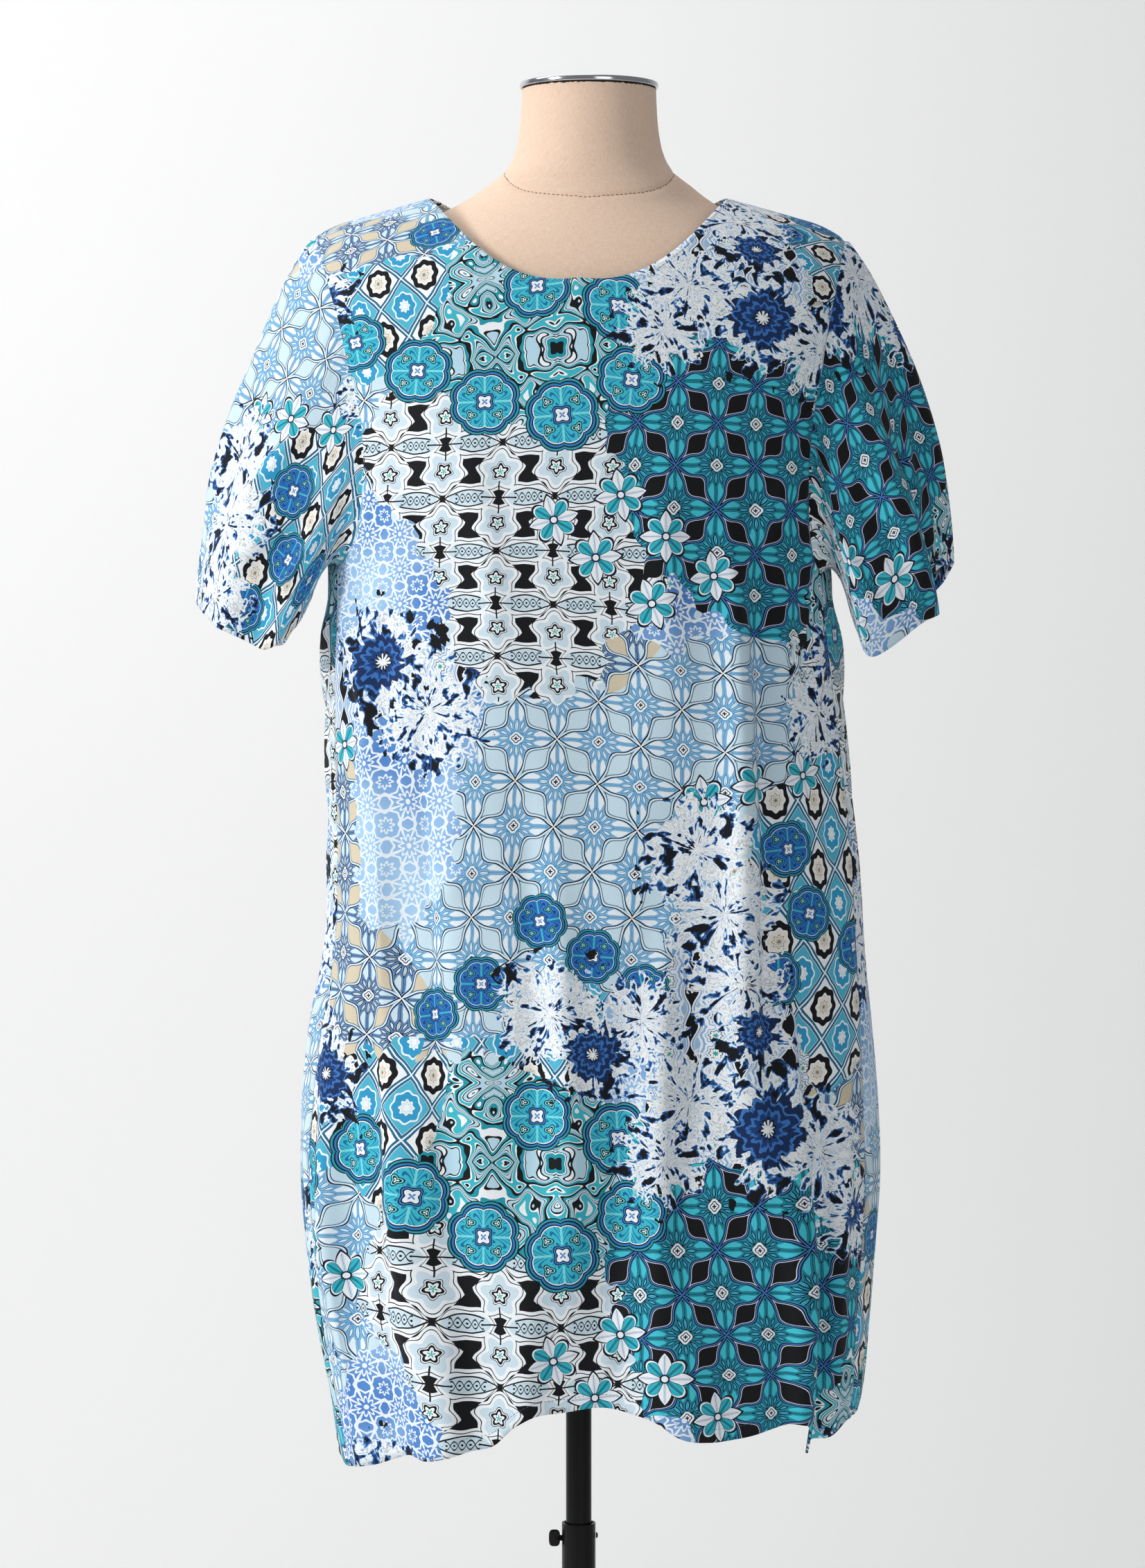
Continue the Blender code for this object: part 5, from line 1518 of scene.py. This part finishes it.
@dataclass
class StitchRow:
    """A row of sewing thread: one small spindle for each stitch, bent down into the cloth at its ends."""

    name: str
    path: Array
    normals: Array
    closed: bool
    pitch: float = 0.0028
    half: float = 0.00105
    radius: float = 0.00016

    def build(self, body: str, material: Material, slot: str) -> Object:
        """Spaces the stitches evenly along the path and sweeps a hexagon along each.

        Args:
            body: the CAD body that it moves with.
            material: the thread.
            slot: not used.

        Returns:
            The row as one object.
        """
        path, normals = self.path, self.normals
        if self.closed:
            path, normals = np.concatenate([path, path[:1]]), np.concatenate([normals, normals[:1]])
        run = lengths(path, 0)
        count = int(run[-1] / self.pitch)
        middles = (np.arange(count) + 0.5) * run[-1] / count
        along = STITCH_STATIONS
        at = middles[:, None] + self.half * along
        spine, up = (np.stack([np.interp(at, run, line[:, axis]) for axis in range(3)], axis=-1)
                     for line in (path, normals))
        up = unit(up)
        spine = spine + up * (self.radius * (0.9 - 1.7 * along**2))[:, None]
        forward = unit(spine[:, -1] - spine[:, 0])[:, None]
        across = unit(np.cross(up, forward))
        turn = np.arange(STITCH_SIDES) * 2 * math.pi / STITCH_SIDES
        ring = self.radius * np.sqrt(1 - (0.93 * along[1:-1, None]) ** 2 * 0.6)
        rings = (
            spine[:, 1:-1, None]
            + across[:, 1:-1, None] * (ring * np.cos(turn))[..., None]
            + up[:, 1:-1, None] * (ring * np.sin(turn))[..., None]
        ).reshape(count, -1, 3)
        points = np.concatenate([spine[:, :1], rings, spine[:, -1:]], axis=1)
        each = points.shape[1]
        quads = 1 + grid_quads(len(ring), STITCH_SIDES, True)[:, [0, 3, 2, 1]]
        step = np.arange(STITCH_SIDES)
        after, last = (step + 1) % STITCH_SIDES, each - 1 - STITCH_SIDES
        starts = np.stack([np.zeros_like(step), 1 + step, 1 + after], axis=1)
        ends = np.stack([np.full_like(step, each - 1), last + after, last + step], axis=1)
        first = (np.arange(count) * each)[:, None, None]
        faces = (quads + first).reshape(-1, 4).tolist()
        faces += (np.concatenate([starts, ends]) + first).reshape(-1, 3).tolist()
        made = link_mesh(self.name, points, faces, material)
        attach(made, body)
        return made


@dataclass
class ClothSurface:
    """The outer face of one cut piece, on a grid whose first row is its hem.

    flat and around are those of its Shell, and turned is True where the grid's faces look inwards.
    """

    points: Array
    normals: Array
    flat: Array
    around: float = 0.0
    turned: bool = False

    def line(self, distance: float, from_top: bool = False) -> tuple:
        """A line that keeps a distance from the hem, or from the opposite edge.

        Args:
            distance: along the cloth.
            from_top: True to measure from the last row.

        Returns:
            Its points and the face's normals there, one for each column.
        """
        points, normals = (self.points[::-1], self.normals[::-1]) if from_top else (self.points, self.normals)
        place = lengths(points, 0)
        return line_across(points, place, distance), line_across(normals, place, distance)

    def turning(self, name: str, layout: PrintLayout, material: Material) -> Object:
        """The hem's turned edge: a strip that lies inside the cloth and ends TURNING above the hem.

        Args:
            name: the strip's name.
            layout: where the piece was cut from the print.
            material: the printed cloth.

        Returns:
            The strip.
        """
        rises = [TURNING * share for share in TURNING_SHARES]
        points, normals = (np.stack(part) for part in zip(*(self.line(rise) for rise in rises)))
        flat = np.stack([self.flat[0] - (0, rise) for rise in rises])
        outer = points - normals * (CLOTH + TURNING_CLEAR)
        strip = Shell(outer, normals, flat, self.around, self.turned, TURNING_CLOTH)
        return strip.build(name, layout, material)

    def stitches(self, name: str, distance: float) -> StitchRow:
        """A row of stitches at a distance above the hem."""
        return StitchRow(name, *self.line(distance), self.around != 0)


@dataclass
class CutPiece:
    """One cut piece of the dress: where its print lies, its flat size and area, and how it is sewn."""

    name: str
    node: str
    layout: PrintLayout
    flat: tuple
    area: float

    def sew(self, made: ClothSurface, rows: list, cloth: Material, thread: Material) -> tuple:
        """Adds the wall, its turned hem and its rows of stitches, and hides the CAD node.

        Args:
            made: the piece's outer face.
            rows: its rows of stitches.
            cloth: the printed cloth.
            thread: the sewing thread.

        Returns:
            The wall, and the list of pieces that hang on it.
        """
        normals = grid_normals(made.points, made.around != 0, made.turned)
        shell = Shell(made.points, normals, made.flat, made.around, made.turned)
        wall = shell.build(self.name, self.layout, cloth)
        turning = made.turning(self.name + "_hem", self.layout, cloth)
        sewn = [row.build("upper", thread, "printed_cloth") for row in rows]
        for piece in (wall, turning):
            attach(piece, "upper")
        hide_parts(self.node)
        return wall, [turning, *sewn]


@dataclass
class DressPanel(CutPiece):
    """The front or the back of the dress, with its creases, seams, hem and neck edge."""

    back: bool
    creases: tuple
    columns: int = 180
    seam_rows: int = 107
    armhole_rows: int = 93

    def surface(self) -> ClothSurface:
        """The body's surface with creases that die away at the seams and the neck, and seam puckers.

        A trough that would reach the form is held off it by the soft maximum s log(1 + exp(h / s)).

        Returns:
            The outer face.
        """
        domain = DressShape.panel_domain(self.back, self.columns, self.seam_rows, self.armhole_rows)
        turn, level = domain[..., 0], domain[..., 1]
        points, normals = DressShape.surface(turn, level), DressShape.normal(turn, level)
        across = DressShape.girth(turn, level, 180.0 if self.back else 0.0)
        from_left, rise = lengths(points, 1), lengths(points, 0)
        from_right = from_left[:, -1:] - from_left
        side = np.minimum(from_left, from_right)
        edge = np.minimum(side, rise[-1:] - rise)
        swell = swell_height(across, level) * smooth_at(level, SWELL_LEVELS, SWELL_SHARES)
        height = smooth_step(*PANEL_EDGE, edge) * (crease_height(across, level, self.creases) + swell)
        lowest = np.minimum(CLOTH + FORM_CLEAR - FormTorso.room(points), 0)
        height = lowest + FORM_SOFT * np.logaddexp(0, (height - lowest) / FORM_SOFT)
        armhole = smooth_step(0, ARMHOLE_GROWTH, level - UNDERARM_LEVEL[1])
        side_line = np.where(from_left < from_right, rise[:, :1], rise[:, -1:])
        height = height + ARMHOLE_PUCKER * armhole * puckers(side, side_line, ARMHOLE_PUCKER_REACH)
        height = height + HEM_PUCKER * puckers(rise, from_left, HEM_PUCKER_REACH)
        height = height - SEAM_DIP * np.exp(-((side / SEAM_HALF_WIDTH) ** 2))
        return ClothSurface(points + height[..., None] * normals, normals, np.stack([across, level], axis=-1))

    def neck_stitches(self, made: ClothSurface) -> StitchRow:
        """A row of stitches along the neckline, below its edge."""
        shoulder = round(self.columns * SHOULDER_SHARE[self.back])
        neck = slice(shoulder + 1, self.columns - shoulder)
        path, normals = made.line(NECK_LINE, from_top=True)
        return StitchRow(self.name + "_neck_stitches", path[neck], normals[neck], False)

    def build(self, cloth: Material, thread: Material) -> Object:
        """Args:
            cloth: the printed cloth.
            thread: the sewing thread.

        Returns:
            The panel.
        """
        made = self.surface()
        rows = [made.stitches(self.name + "_hem_stitches", PANEL_HEM_LINE), self.neck_stitches(made)]
        panel, sewn = self.sew(made, rows, cloth, thread)
        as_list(sewn)
        return panel


@dataclass
class SetInSleeve(CutPiece):
    """One set-in sleeve: a tube of cloth, open at both ends, with puckers at its armhole seam."""

    side: int
    half_columns: int = 80
    rows: int = 90
    swell: float = 0.5

    def surface(self) -> ClothSurface:
        """The sleeve's surface with creases that die away at the armhole.

        The rows are turned round so that the hem comes first, which turns the faces round too.

        Returns:
            The outer face.
        """
        points, around = DressShape.sleeve_surface(self.side, self.half_columns, self.rows)
        normals = grid_normals(points, True, self.side < 0)
        down = lengths(points, 0)
        up = down[-1:] - down
        girth = float(np.linalg.norm(np.roll(points, -1, axis=1) - points, axis=-1).sum(axis=1).mean())
        across = np.broadcast_to(around / 360 * girth, up.shape)
        creases = crease_height(across, up, SLEEVE_CREASES[self.side]) + self.swell * swell_height(across, up)
        seam_line = np.broadcast_to(lengths(points, 1)[:1], up.shape)
        height = smooth_step(*SLEEVE_EDGE, down) * creases + SLEEVE_PUCKER * puckers(
            down, seam_line, SLEEVE_PUCKER_REACH) + HEM_PUCKER * puckers(up, across, HEM_PUCKER_REACH)
        height = height - SEAM_DIP * np.exp(-((down / SEAM_HALF_WIDTH) ** 2))
        points = points + height[..., None] * normals
        flat = np.stack([-self.side * across, up], axis=-1)
        return ClothSurface(points[::-1], normals[::-1], flat[::-1], -self.side * girth, self.side > 0)

    def build(self, cloth: Material, thread: Material) -> Object:
        """Args:
            cloth: the printed cloth.
            thread: the sewing thread.

        Returns:
            The sleeve.
        """
        made = self.surface()
        rows = [made.stitches(self.name + "_hem_stitches", SLEEVE_HEM_LINE)]
        sleeve, sewn = self.sew(made, rows, cloth, thread)
        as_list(sewn)
        return sleeve


# --- Form and stand ---

FORM = {
    "level": (0.800, 0.812, 0.87, 0.95, 1.04, 1.11, 1.19, 1.25, 1.31, 1.36, 1.40, 1.425, 1.440, 1.451,
              1.460, 1.468, 1.476, 1.483, 1.490, 1.498, 1.508, 1.522, 1.540, 1.5555),
    "half": (0.135, 0.148, 0.160, 0.155, 0.128, 0.132, 0.150, 0.158, 0.166, 0.172, 0.172, 0.162, 0.147,
             0.130, 0.114, 0.0985, 0.0855, 0.0760, 0.0665, 0.0595, 0.0550, 0.0520, 0.0504, 0.0498),
    "front": (0.088, 0.098, 0.108, 0.104, 0.092, 0.098, 0.115, 0.114, 0.108, 0.099, 0.0925, 0.0855,
              0.0790, 0.0725, 0.0665, 0.0610, 0.0570, 0.0550, 0.0540, 0.0530, 0.0520, 0.0510, 0.0502,
              0.0498),
    "back": (0.096, 0.106, 0.118, 0.110, 0.090, 0.092, 0.102, 0.107, 0.105, 0.098, 0.0900, 0.0830, 0.0770,
             0.0715, 0.0665, 0.0620, 0.0590, 0.0580, 0.0565, 0.0550, 0.0535, 0.0515, 0.0502, 0.0498),
    "centre": (0.0, 0.0, 0.0, 0.001, 0.002, 0.003, 0.003, 0.004, 0.004, 0.004, 0.004, 0.004, 0.004,
               0.0045, 0.005, 0.006, 0.0070, 0.0077, 0.0077, 0.0077, 0.0077, 0.0077, 0.0077, 0.0077),
    "round": (0.92, 0.92, 0.92, 0.92, 0.92, 0.92, 0.92, 0.92, 0.92, 0.94, 1.00, 1.10, 1.20, 1.30, 1.30,
              1.30, 1.20, 1.10, 1.00, 1.00, 1.00, 1.00, 1.00, 1.00),
}
# Level of the seam round the neck's base, by degrees from the front
NECK_SEAM = {"turn": (0, 31, 60, 90, 140, 180), "level": (1.4698, 1.4753, 1.4867, 1.4942, 1.5000, 1.5020)}
FORM_DIP, FORM_DIP_HALF_WIDTH = 0.0010, 0.0022
GATHER, GATHER_COUNT, GATHER_REACH = 0.00035, 61, 0.006  # small gathers at the neck seam
TORSO_CROWDING, NECK_CROWDING = 1.7, 1.3  # powers that draw the rows together at the neck seam
NECK_MAP_RADIUS = 0.054  # turns angles round the neck into a distance on its cover
CAP_CENTRE, CAP_RADIUS, CAP_BOTTOM, CAP_TOP, CAP_EDGE = 0.0077, 0.0515, 1.5560, 1.5600, 0.0008
CAP_FACE = CAP_RADIUS - 0.004  # its flat faces run out to here


@dataclass
class FormTorso:
    """The padded torso under its linen cover, which is sewn from a body part and a neck part."""

    columns: int = 144
    torso_rows: int = 130
    neck_rows: int = 60

    @staticmethod
    def sizes(level: Array) -> list:
        """The section at a level: half width, depth in front, depth behind, centre and power."""
        columns = ("half", "front", "back", "centre", "round")
        return [smooth_at(level, FORM["level"], FORM[column]) for column in columns]

    @classmethod
    def section(cls, turn: Array, level: Array) -> Array:
        """Points of the cover, on superellipses: width as sin^min(p, 1) and depth as cos^p of the turn.

        Args:
            turn: radians from the front.
            level: heights, of the same shape.

        Returns:
            Points, with one more axis of 3.
        """
        half, front, back, centre, power = cls.sizes(level)
        sine, cosine = np.sin(turn), np.cos(turn)
        depth = np.where(cosine > 0, front, back)
        x = centre + half * np.sign(sine) * np.abs(sine) ** np.minimum(power, 1)
        y = -depth * np.sign(cosine) * np.abs(cosine) ** power
        return np.stack([x, y, level], axis=-1)

    @classmethod
    def room(cls, points: Array) -> Array:
        """How far points stand off the cover, measured towards its axis, from their place in its section.

        Args:
            points: any number of them, with a last axis of 3.

        Returns:
            Distances, below 0 inside the cover.
        """
        half, front, back, centre, power = cls.sizes(points[..., 2])
        x, y = np.abs(points[..., 0] - centre), np.abs(points[..., 1])
        depth = np.where(points[..., 1] < 0, front, back)
        share = (x / half) ** (2 / np.minimum(power, 1)) + (y / depth) ** (2 / power)
        room = np.hypot(x, y) * (1 - share ** (-power / 2))
        return np.where(points[..., 2] < FORM["level"][0], FAR, room)

    @staticmethod
    def seam_level(turn: Array) -> Array:
        """The neck seam's level at an angle."""
        around = np.degrees(np.abs((turn + math.pi) % (2 * math.pi) - math.pi))
        return smooth_at(around, NECK_SEAM["turn"], NECK_SEAM["level"])

    def build(self, linen: Material, thread: Material) -> Object:
        """Adds the cover as one closed mesh with a valley at its neck seam, and the seam's stitches.

        Args:
            linen: the cover's finish.
            thread: the seam's.

        Returns:
            The cover.
        """
        turn = np.arange(self.columns) * 2 * math.pi / self.columns
        seam = self.seam_level(turn)
        low = 1 - (1 - np.linspace(0, 1, self.torso_rows + 1)) ** TORSO_CROWDING
        high = np.linspace(0, 1, self.neck_rows + 1)[1:] ** NECK_CROWDING
        bottom, top = FORM["level"][0], FORM["level"][-1]
        level = np.concatenate([bottom + low[:, None] * (seam - bottom), seam + high[:, None] * (top - seam)])
        turns = np.broadcast_to(turn, level.shape)
        points = self.section(turns, level)
        normals = grid_normals(points, True)
        rise = lengths(points, 0)
        from_seam = rise - rise[self.torso_rows]
        dip = FORM_DIP * np.exp(-((from_seam / FORM_DIP_HALF_WIDTH) ** 2))
        gather = GATHER * np.sin(turns * GATHER_COUNT) * np.exp(-np.abs(from_seam) / GATHER_REACH)
        points = points + (gather - dip)[..., None] * normals
        ends = np.array([[0.0, 0.0, bottom], [CAP_CENTRE, 0.0, top]])
        faces = closed_rings(len(level), self.columns)
        made = link_mesh("form_torso", np.concatenate([points.reshape(-1, 3), ends]), faces, linen)
        made.data.set_sharp_from_angle(angle=math.radians(60))
        quads = grid_quads(len(level), self.columns, True)
        torso_map, neck_map = (
            np.stack([across, rise], axis=-1).reshape(-1, 2)
            for across in (points[..., 0], turns * NECK_MAP_RADIUS)
        )
        on_torso = (quads[:, 0] < self.torso_rows * self.columns)[:, None, None]
        cover = np.where(on_torso, torso_map[quads], neck_map[quads])
        joined = past_the_join(quads, self.columns) & ~on_torso[..., 0]
        cover[..., 0] += joined * (2 * math.pi * NECK_MAP_RADIUS)
        fans = np.zeros((2 * self.columns * 3, 2))
        values = np.concatenate([cover.reshape(-1, 2), fans]).astype(np.float32)
        made.data.uv_layers.new(name="cover").data.foreach_set("uv", values.reshape(-1))
        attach(made, "upper")
        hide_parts("dress_form")
        path, up = points[self.torso_rows], normals[self.torso_rows]
        stitches = StitchRow("form_neck_stitches", path, up, True, pitch=0.0034, half=0.0013, radius=0.00028)
        stitches.build("upper", thread, "linen_cover")
        return made


@dataclass
class Lathe:
    """A solid of revolution from (radius, place along the axis) rows; a radius of 0 closes an end."""

    name: str
    body: str
    slot: str
    profile: tuple
    centre: tuple = (0.0, 0.0, 0.0)
    along_x: bool = False
    sides: int = 96
    sharp: float = 40.0

    def build(self, material: Material, *nodes: str) -> Object:
        """Adds the solid and hides the CAD nodes that it stands for.

        Args:
            material: its finish.
            nodes: the CAD nodes.

        Returns:
            The object.
        """
        inner = [row for row in self.profile if row[0] > 0]
        turn = np.arange(self.sides) * 2 * math.pi / self.sides
        radius, place = (np.array(part)[:, None] for part in zip(*inner))
        a, b = radius * np.cos(turn), radius * np.sin(turn)
        c = np.broadcast_to(place, a.shape)
        rings = np.stack([c, a, b] if self.along_x else [a, b, c], axis=-1).reshape(-1, 3)
        places = (self.profile[0][1], self.profile[-1][1])
        ends = [(end, 0, 0) if self.along_x else (0, 0, end) for end in places]
        points = np.concatenate([rings, np.array(ends)]) + np.array(self.centre)
        made = link_mesh(self.name, points, closed_rings(len(inner), self.sides), material)
        made.data.set_sharp_from_angle(angle=math.radians(self.sharp))
        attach(made, self.body)
        if nodes:
            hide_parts(*nodes)
        return made


def chamfered(radius: float, bottom: float, top: float, edge: float) -> tuple:
    """The profile of a round bar or plate whose two edges are cut at 45 degrees."""
    return ((0, bottom), (radius - edge, bottom), (radius, bottom + edge), (radius, top - edge),
            (radius - edge, top), (0, top))


def signed_power(value: Array, exponent: float) -> Array:
    """The value's size to a power, with its sign."""
    return np.sign(value) * np.abs(value) ** exponent


@dataclass
class Stand:
    """Neck cap, pole, flange, base and clamp screw. The outer tube stays as the CAD has it."""

    pole: tuple = (0.0095, 0.150, 0.7934, 0.0006)  # radius, bottom, top, edge
    flange: tuple = (0.0400, 0.7937, 0.7997, 0.0008)
    rivet_height: float = 0.481
    wing_middle: float = -0.0180
    wing_half_width: float = 0.0042
    wing_half_height: float = 0.0062
    wing_half_thickness: float = 0.0018
    wing_columns: int = 48
    wing_powers: tuple = (0.35, 0.62, 0.6)  # of its rim, its outline and its faces: 1 is an ellipse
    screw_height: float = 0.479
    screw_radius: float = 0.0022
    screw_tip: float = -0.0099
    thread_depth: float = 0.00022
    thread_rings: int = 29

    def build(self, chrome: Material, paint: Material, plastic: Material) -> None:
        """Adds the round pieces and the screw, and paints the CAD's outer tube.

        Args:
            chrome: for the cap.
            paint: for the pole, flange, base and tube.
            plastic: for the screw and the rivet.
        """
        edge, soft = CAP_EDGE, 0.3 * CAP_EDGE
        Lathe("neck_cap_plate", "upper", "chrome_plate", (
            (0, CAP_BOTTOM), (CAP_FACE, CAP_BOTTOM), (CAP_RADIUS - edge, CAP_BOTTOM),
            (CAP_RADIUS - soft, CAP_BOTTOM + soft), (CAP_RADIUS, CAP_BOTTOM + edge),
            (CAP_RADIUS, CAP_TOP - edge), (CAP_RADIUS - soft, CAP_TOP - soft), (CAP_RADIUS - edge, CAP_TOP),
            (CAP_FACE, CAP_TOP), (0.006, CAP_TOP), (0, CAP_TOP),
        ), (CAP_CENTRE, 0, 0), sides=144, sharp=60).build(chrome, "neck_cap")
        Lathe("inner_pole", "upper", "black_paint", chamfered(*self.pole)).build(paint, "pole")
        Lathe("flange_plate", "upper", "black_paint", chamfered(*self.flange)).build(paint, "form_flange")
        Lathe("base_disc", "stand", "black_paint", (
            (0, 0.0), (0.1785, 0.0), (0.1800, 0.0012), (0.1800, 0.0052), (0.1794, 0.0066), (0.1782, 0.0075),
            (0.1762, 0.0080), (0.0300, 0.0080), (0, 0.0080),
        ), sides=160).build(paint, "base_plate")
        Lathe("rivet_head", "stand", "black_screw", (
            (0, 0.0128), (0.0022, 0.0128), (0.0021, 0.0134), (0.0017, 0.0139), (0.0010, 0.0142), (0, 0.0143),
        ), (0, 0, self.rivet_height), True, 32, 80).build(plastic, "tube_rivet")
        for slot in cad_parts["lower_tube"].material_slots:
            slot.material = paint
        self.clamp(plastic)

    def clamp(self, plastic: Material) -> None:
        """The thumb screw: a shank with a thread, and a rounded paddle as a superellipsoid."""
        ridges = np.linspace(self.wing_middle + 0.002, self.screw_tip - 0.0006, self.thread_rings)
        thread = [(self.screw_radius - self.thread_depth * (at % 2), float(x)) for at, x in enumerate(ridges)]
        profile = ((0, self.wing_middle), (self.screw_radius, self.wing_middle), *thread,
                   (self.screw_radius * 0.7, self.screw_tip - 0.0001), (0, self.screw_tip))
        shank = Lathe("clamp_shank", "clamp", "black_screw", profile, (0, 0, self.screw_height), True, 32, 60)
        shank.build(plastic)
        up = np.linspace(-math.pi / 2, math.pi / 2, self.wing_columns // 2 + 1)[1:-1, None]
        turn = np.arange(self.wing_columns) * 2 * math.pi / self.wing_columns
        rim_power, outline_power, face_power = self.wing_powers
        rim = signed_power(np.cos(up), rim_power)
        x = self.wing_middle + self.wing_half_width * rim * signed_power(np.cos(turn), outline_power)
        z = self.screw_height + self.wing_half_height * rim * signed_power(np.sin(turn), outline_power)
        y = -self.wing_half_thickness * signed_power(np.sin(up), face_power) * np.ones_like(turn)
        ends = [(self.wing_middle, side * self.wing_half_thickness, self.screw_height) for side in (1, -1)]
        points = np.concatenate([np.stack([x, y, z], axis=-1).reshape(-1, 3), np.array(ends)])
        wing = link_mesh("clamp_wing", points, closed_rings(len(up), self.wing_columns), plastic)
        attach(wing, "clamp")
        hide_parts("clamp_screw")


# --- Studio ---


@dataclass
class Studio:
    """A pale floor that curves up into a wall, soft lamps and the photo's camera."""

    half_width: float = 5.0
    front: float = -5.5
    wall: float = 2.6
    curve: float = 0.9
    height: float = 5.0
    frame_pixels: float = 2263.0  # the photo's height, and its camera's focal length in its pixels
    focal_pixels: float = 6214.0
    film: float = 36.0
    room_light: float = 0.26

    def backdrop(self) -> None:
        """One sheet along X, its section a line, a quarter circle and a line, and clear from behind."""
        angle = np.linspace(0, math.pi / 2, 25)
        y = np.concatenate([[self.front], self.wall - self.curve + self.curve * np.sin(angle), [self.wall]])
        z = np.concatenate([[0.0], self.curve - self.curve * np.cos(angle), [self.height]])
        x = np.array([-self.half_width, self.half_width])
        grid = np.stack(np.broadcast_arrays(x, y[:, None], z[:, None]), axis=-1)
        graph = Graph("studio_paper")
        cloudy = graph.noise(graph.place(), 0.7, 1.0)
        behind = Value(graph, graph.node("ShaderNodeNewGeometry").outputs["Backfacing"])
        paper = graph.finish(
            Base_Color=graph.mix(cloudy, srgb("F1F1F0"), srgb("F5F5F4")), Roughness=0.95, Alpha=1 - behind
        )
        link_mesh("backdrop", grid, grid_quads(len(y), 2, False).tolist(), paper)

    @staticmethod
    def lamp(name: str, place: tuple, aim: tuple, size: tuple, power: float, colour: str = "FFFFFF") -> None:
        """A rectangular area lamp that faces a point.

        Args:
            name: its name.
            place: where it is.
            aim: the point.
            size: width and height.
            power: watts.
            colour: hex colour.
        """
        data = bpy.data.lights.new(name, "AREA")
        data.shape, data.size, data.size_y, data.energy = "RECTANGLE", size[0], size[1], power
        data.color = srgb(colour)[:3]
        lamp = bpy.data.objects.new(name, data)
        lamp.location = place
        lamp.rotation_euler = (Vector(aim) - Vector(place)).to_track_quat("-Z", "Y").to_euler()
        bpy.context.scene.collection.objects.link(lamp)

    def build(self) -> None:
        """Adds the backdrop, the lamps, the even light of the room and the camera."""
        self.backdrop()
        self.lamp("key", (-3.2, -1.9, 2.1), (0.0, 0.0, 1.05), (0.8, 1.2), 85)
        self.lamp("fill", (1.6, -3.6, 1.5), (0.0, 0.0, 1.0), (1.8, 2.2), 21)
        self.lamp("top", (-0.4, 0.4, 3.4), (0.0, 0.3, 1.0), (2.4, 1.6), 22)
        self.lamp("wall_wash", (-2.4, 0.2, 3.0), (-0.8, 2.6, 1.4), (1.8, 1.2), 38)
        scene = bpy.context.scene
        world = bpy.data.worlds.new("room")
        world.use_nodes = True
        background = world.node_tree.nodes["Background"]
        background.inputs[0].default_value = (0.95, 0.97, 1.0, 1.0)
        background.inputs[1].default_value = self.room_light
        scene.world = world
        scene.view_settings.view_transform = "Standard"
        data = bpy.data.cameras.new("photo_camera")
        data.lens, data.sensor_width = self.focal_pixels / self.frame_pixels * self.film, self.film
        data.shift_y = -0.0899
        camera = bpy.data.objects.new("photo_camera", data)
        camera.location, camera.rotation_euler = (-0.0046, -3.2, 1.144), (math.pi / 2, 0, 0)
        scene.collection.objects.link(camera)
        scene.camera = camera


def main() -> None:
    """Builds the looks piece by piece."""
    logging.basicConfig(level=logging.INFO, format="%(message)s")
    cloth = PrintedCloth().build()
    linen = LinenCover().build()
    cloth_thread = SewingThread("cloth_thread", "3D6E93").build()
    seam_thread = SewingThread("seam_thread", "8A6346").build()
    chrome = PlainFinish("chrome_plate", "B9BBBF", 0.15, metallic=1.0, uneven=0.10, grain=0.000006).build()
    paint = PlainFinish("satin_black_paint", "0A0A0C", 0.30, uneven=0.12, specular=0.16).build()
    plastic = PlainFinish("black_plastic", "0F0F11", 0.46, uneven=0.10, grain=0.00003, specular=0.2).build()
    FormTorso().build(linen, seam_thread)
    LOG.info("form: linen cover and neck seam")
    for piece in (
        DressPanel("dress_front_cloth", "dress_front", PrintLayout(0.0, -0.55), (0.56, 0.93), 0.385,
                   back=False, creases=FRONT_CREASES),
        DressPanel("dress_back_cloth", "dress_back", PrintLayout(0.21, -0.38), (0.66, 0.96), 0.535,
                   back=True, creases=BACK_CREASES),
        SetInSleeve("sleeve_left_cloth", "sleeve_left", PrintLayout(0.045, 0.33), (0.40, 0.24), 0.070,
                    side=-1),
        SetInSleeve("sleeve_right_cloth", "sleeve_right", PrintLayout(0.212, 0.0), (0.40, 0.24), 0.066,
                    side=1),
    ):
        made = piece.build(cloth, cloth_thread)
        LOG.info("%s: %d faces", made.name, len(made.data.polygons))
    Stand().build(chrome, paint, plastic)
    LOG.info("stand: cap, pole, flange, base, clamp screw and rivet")
    Studio().build()
    LOG.info("sizes written")


if __name__ == "__main__":
    main()
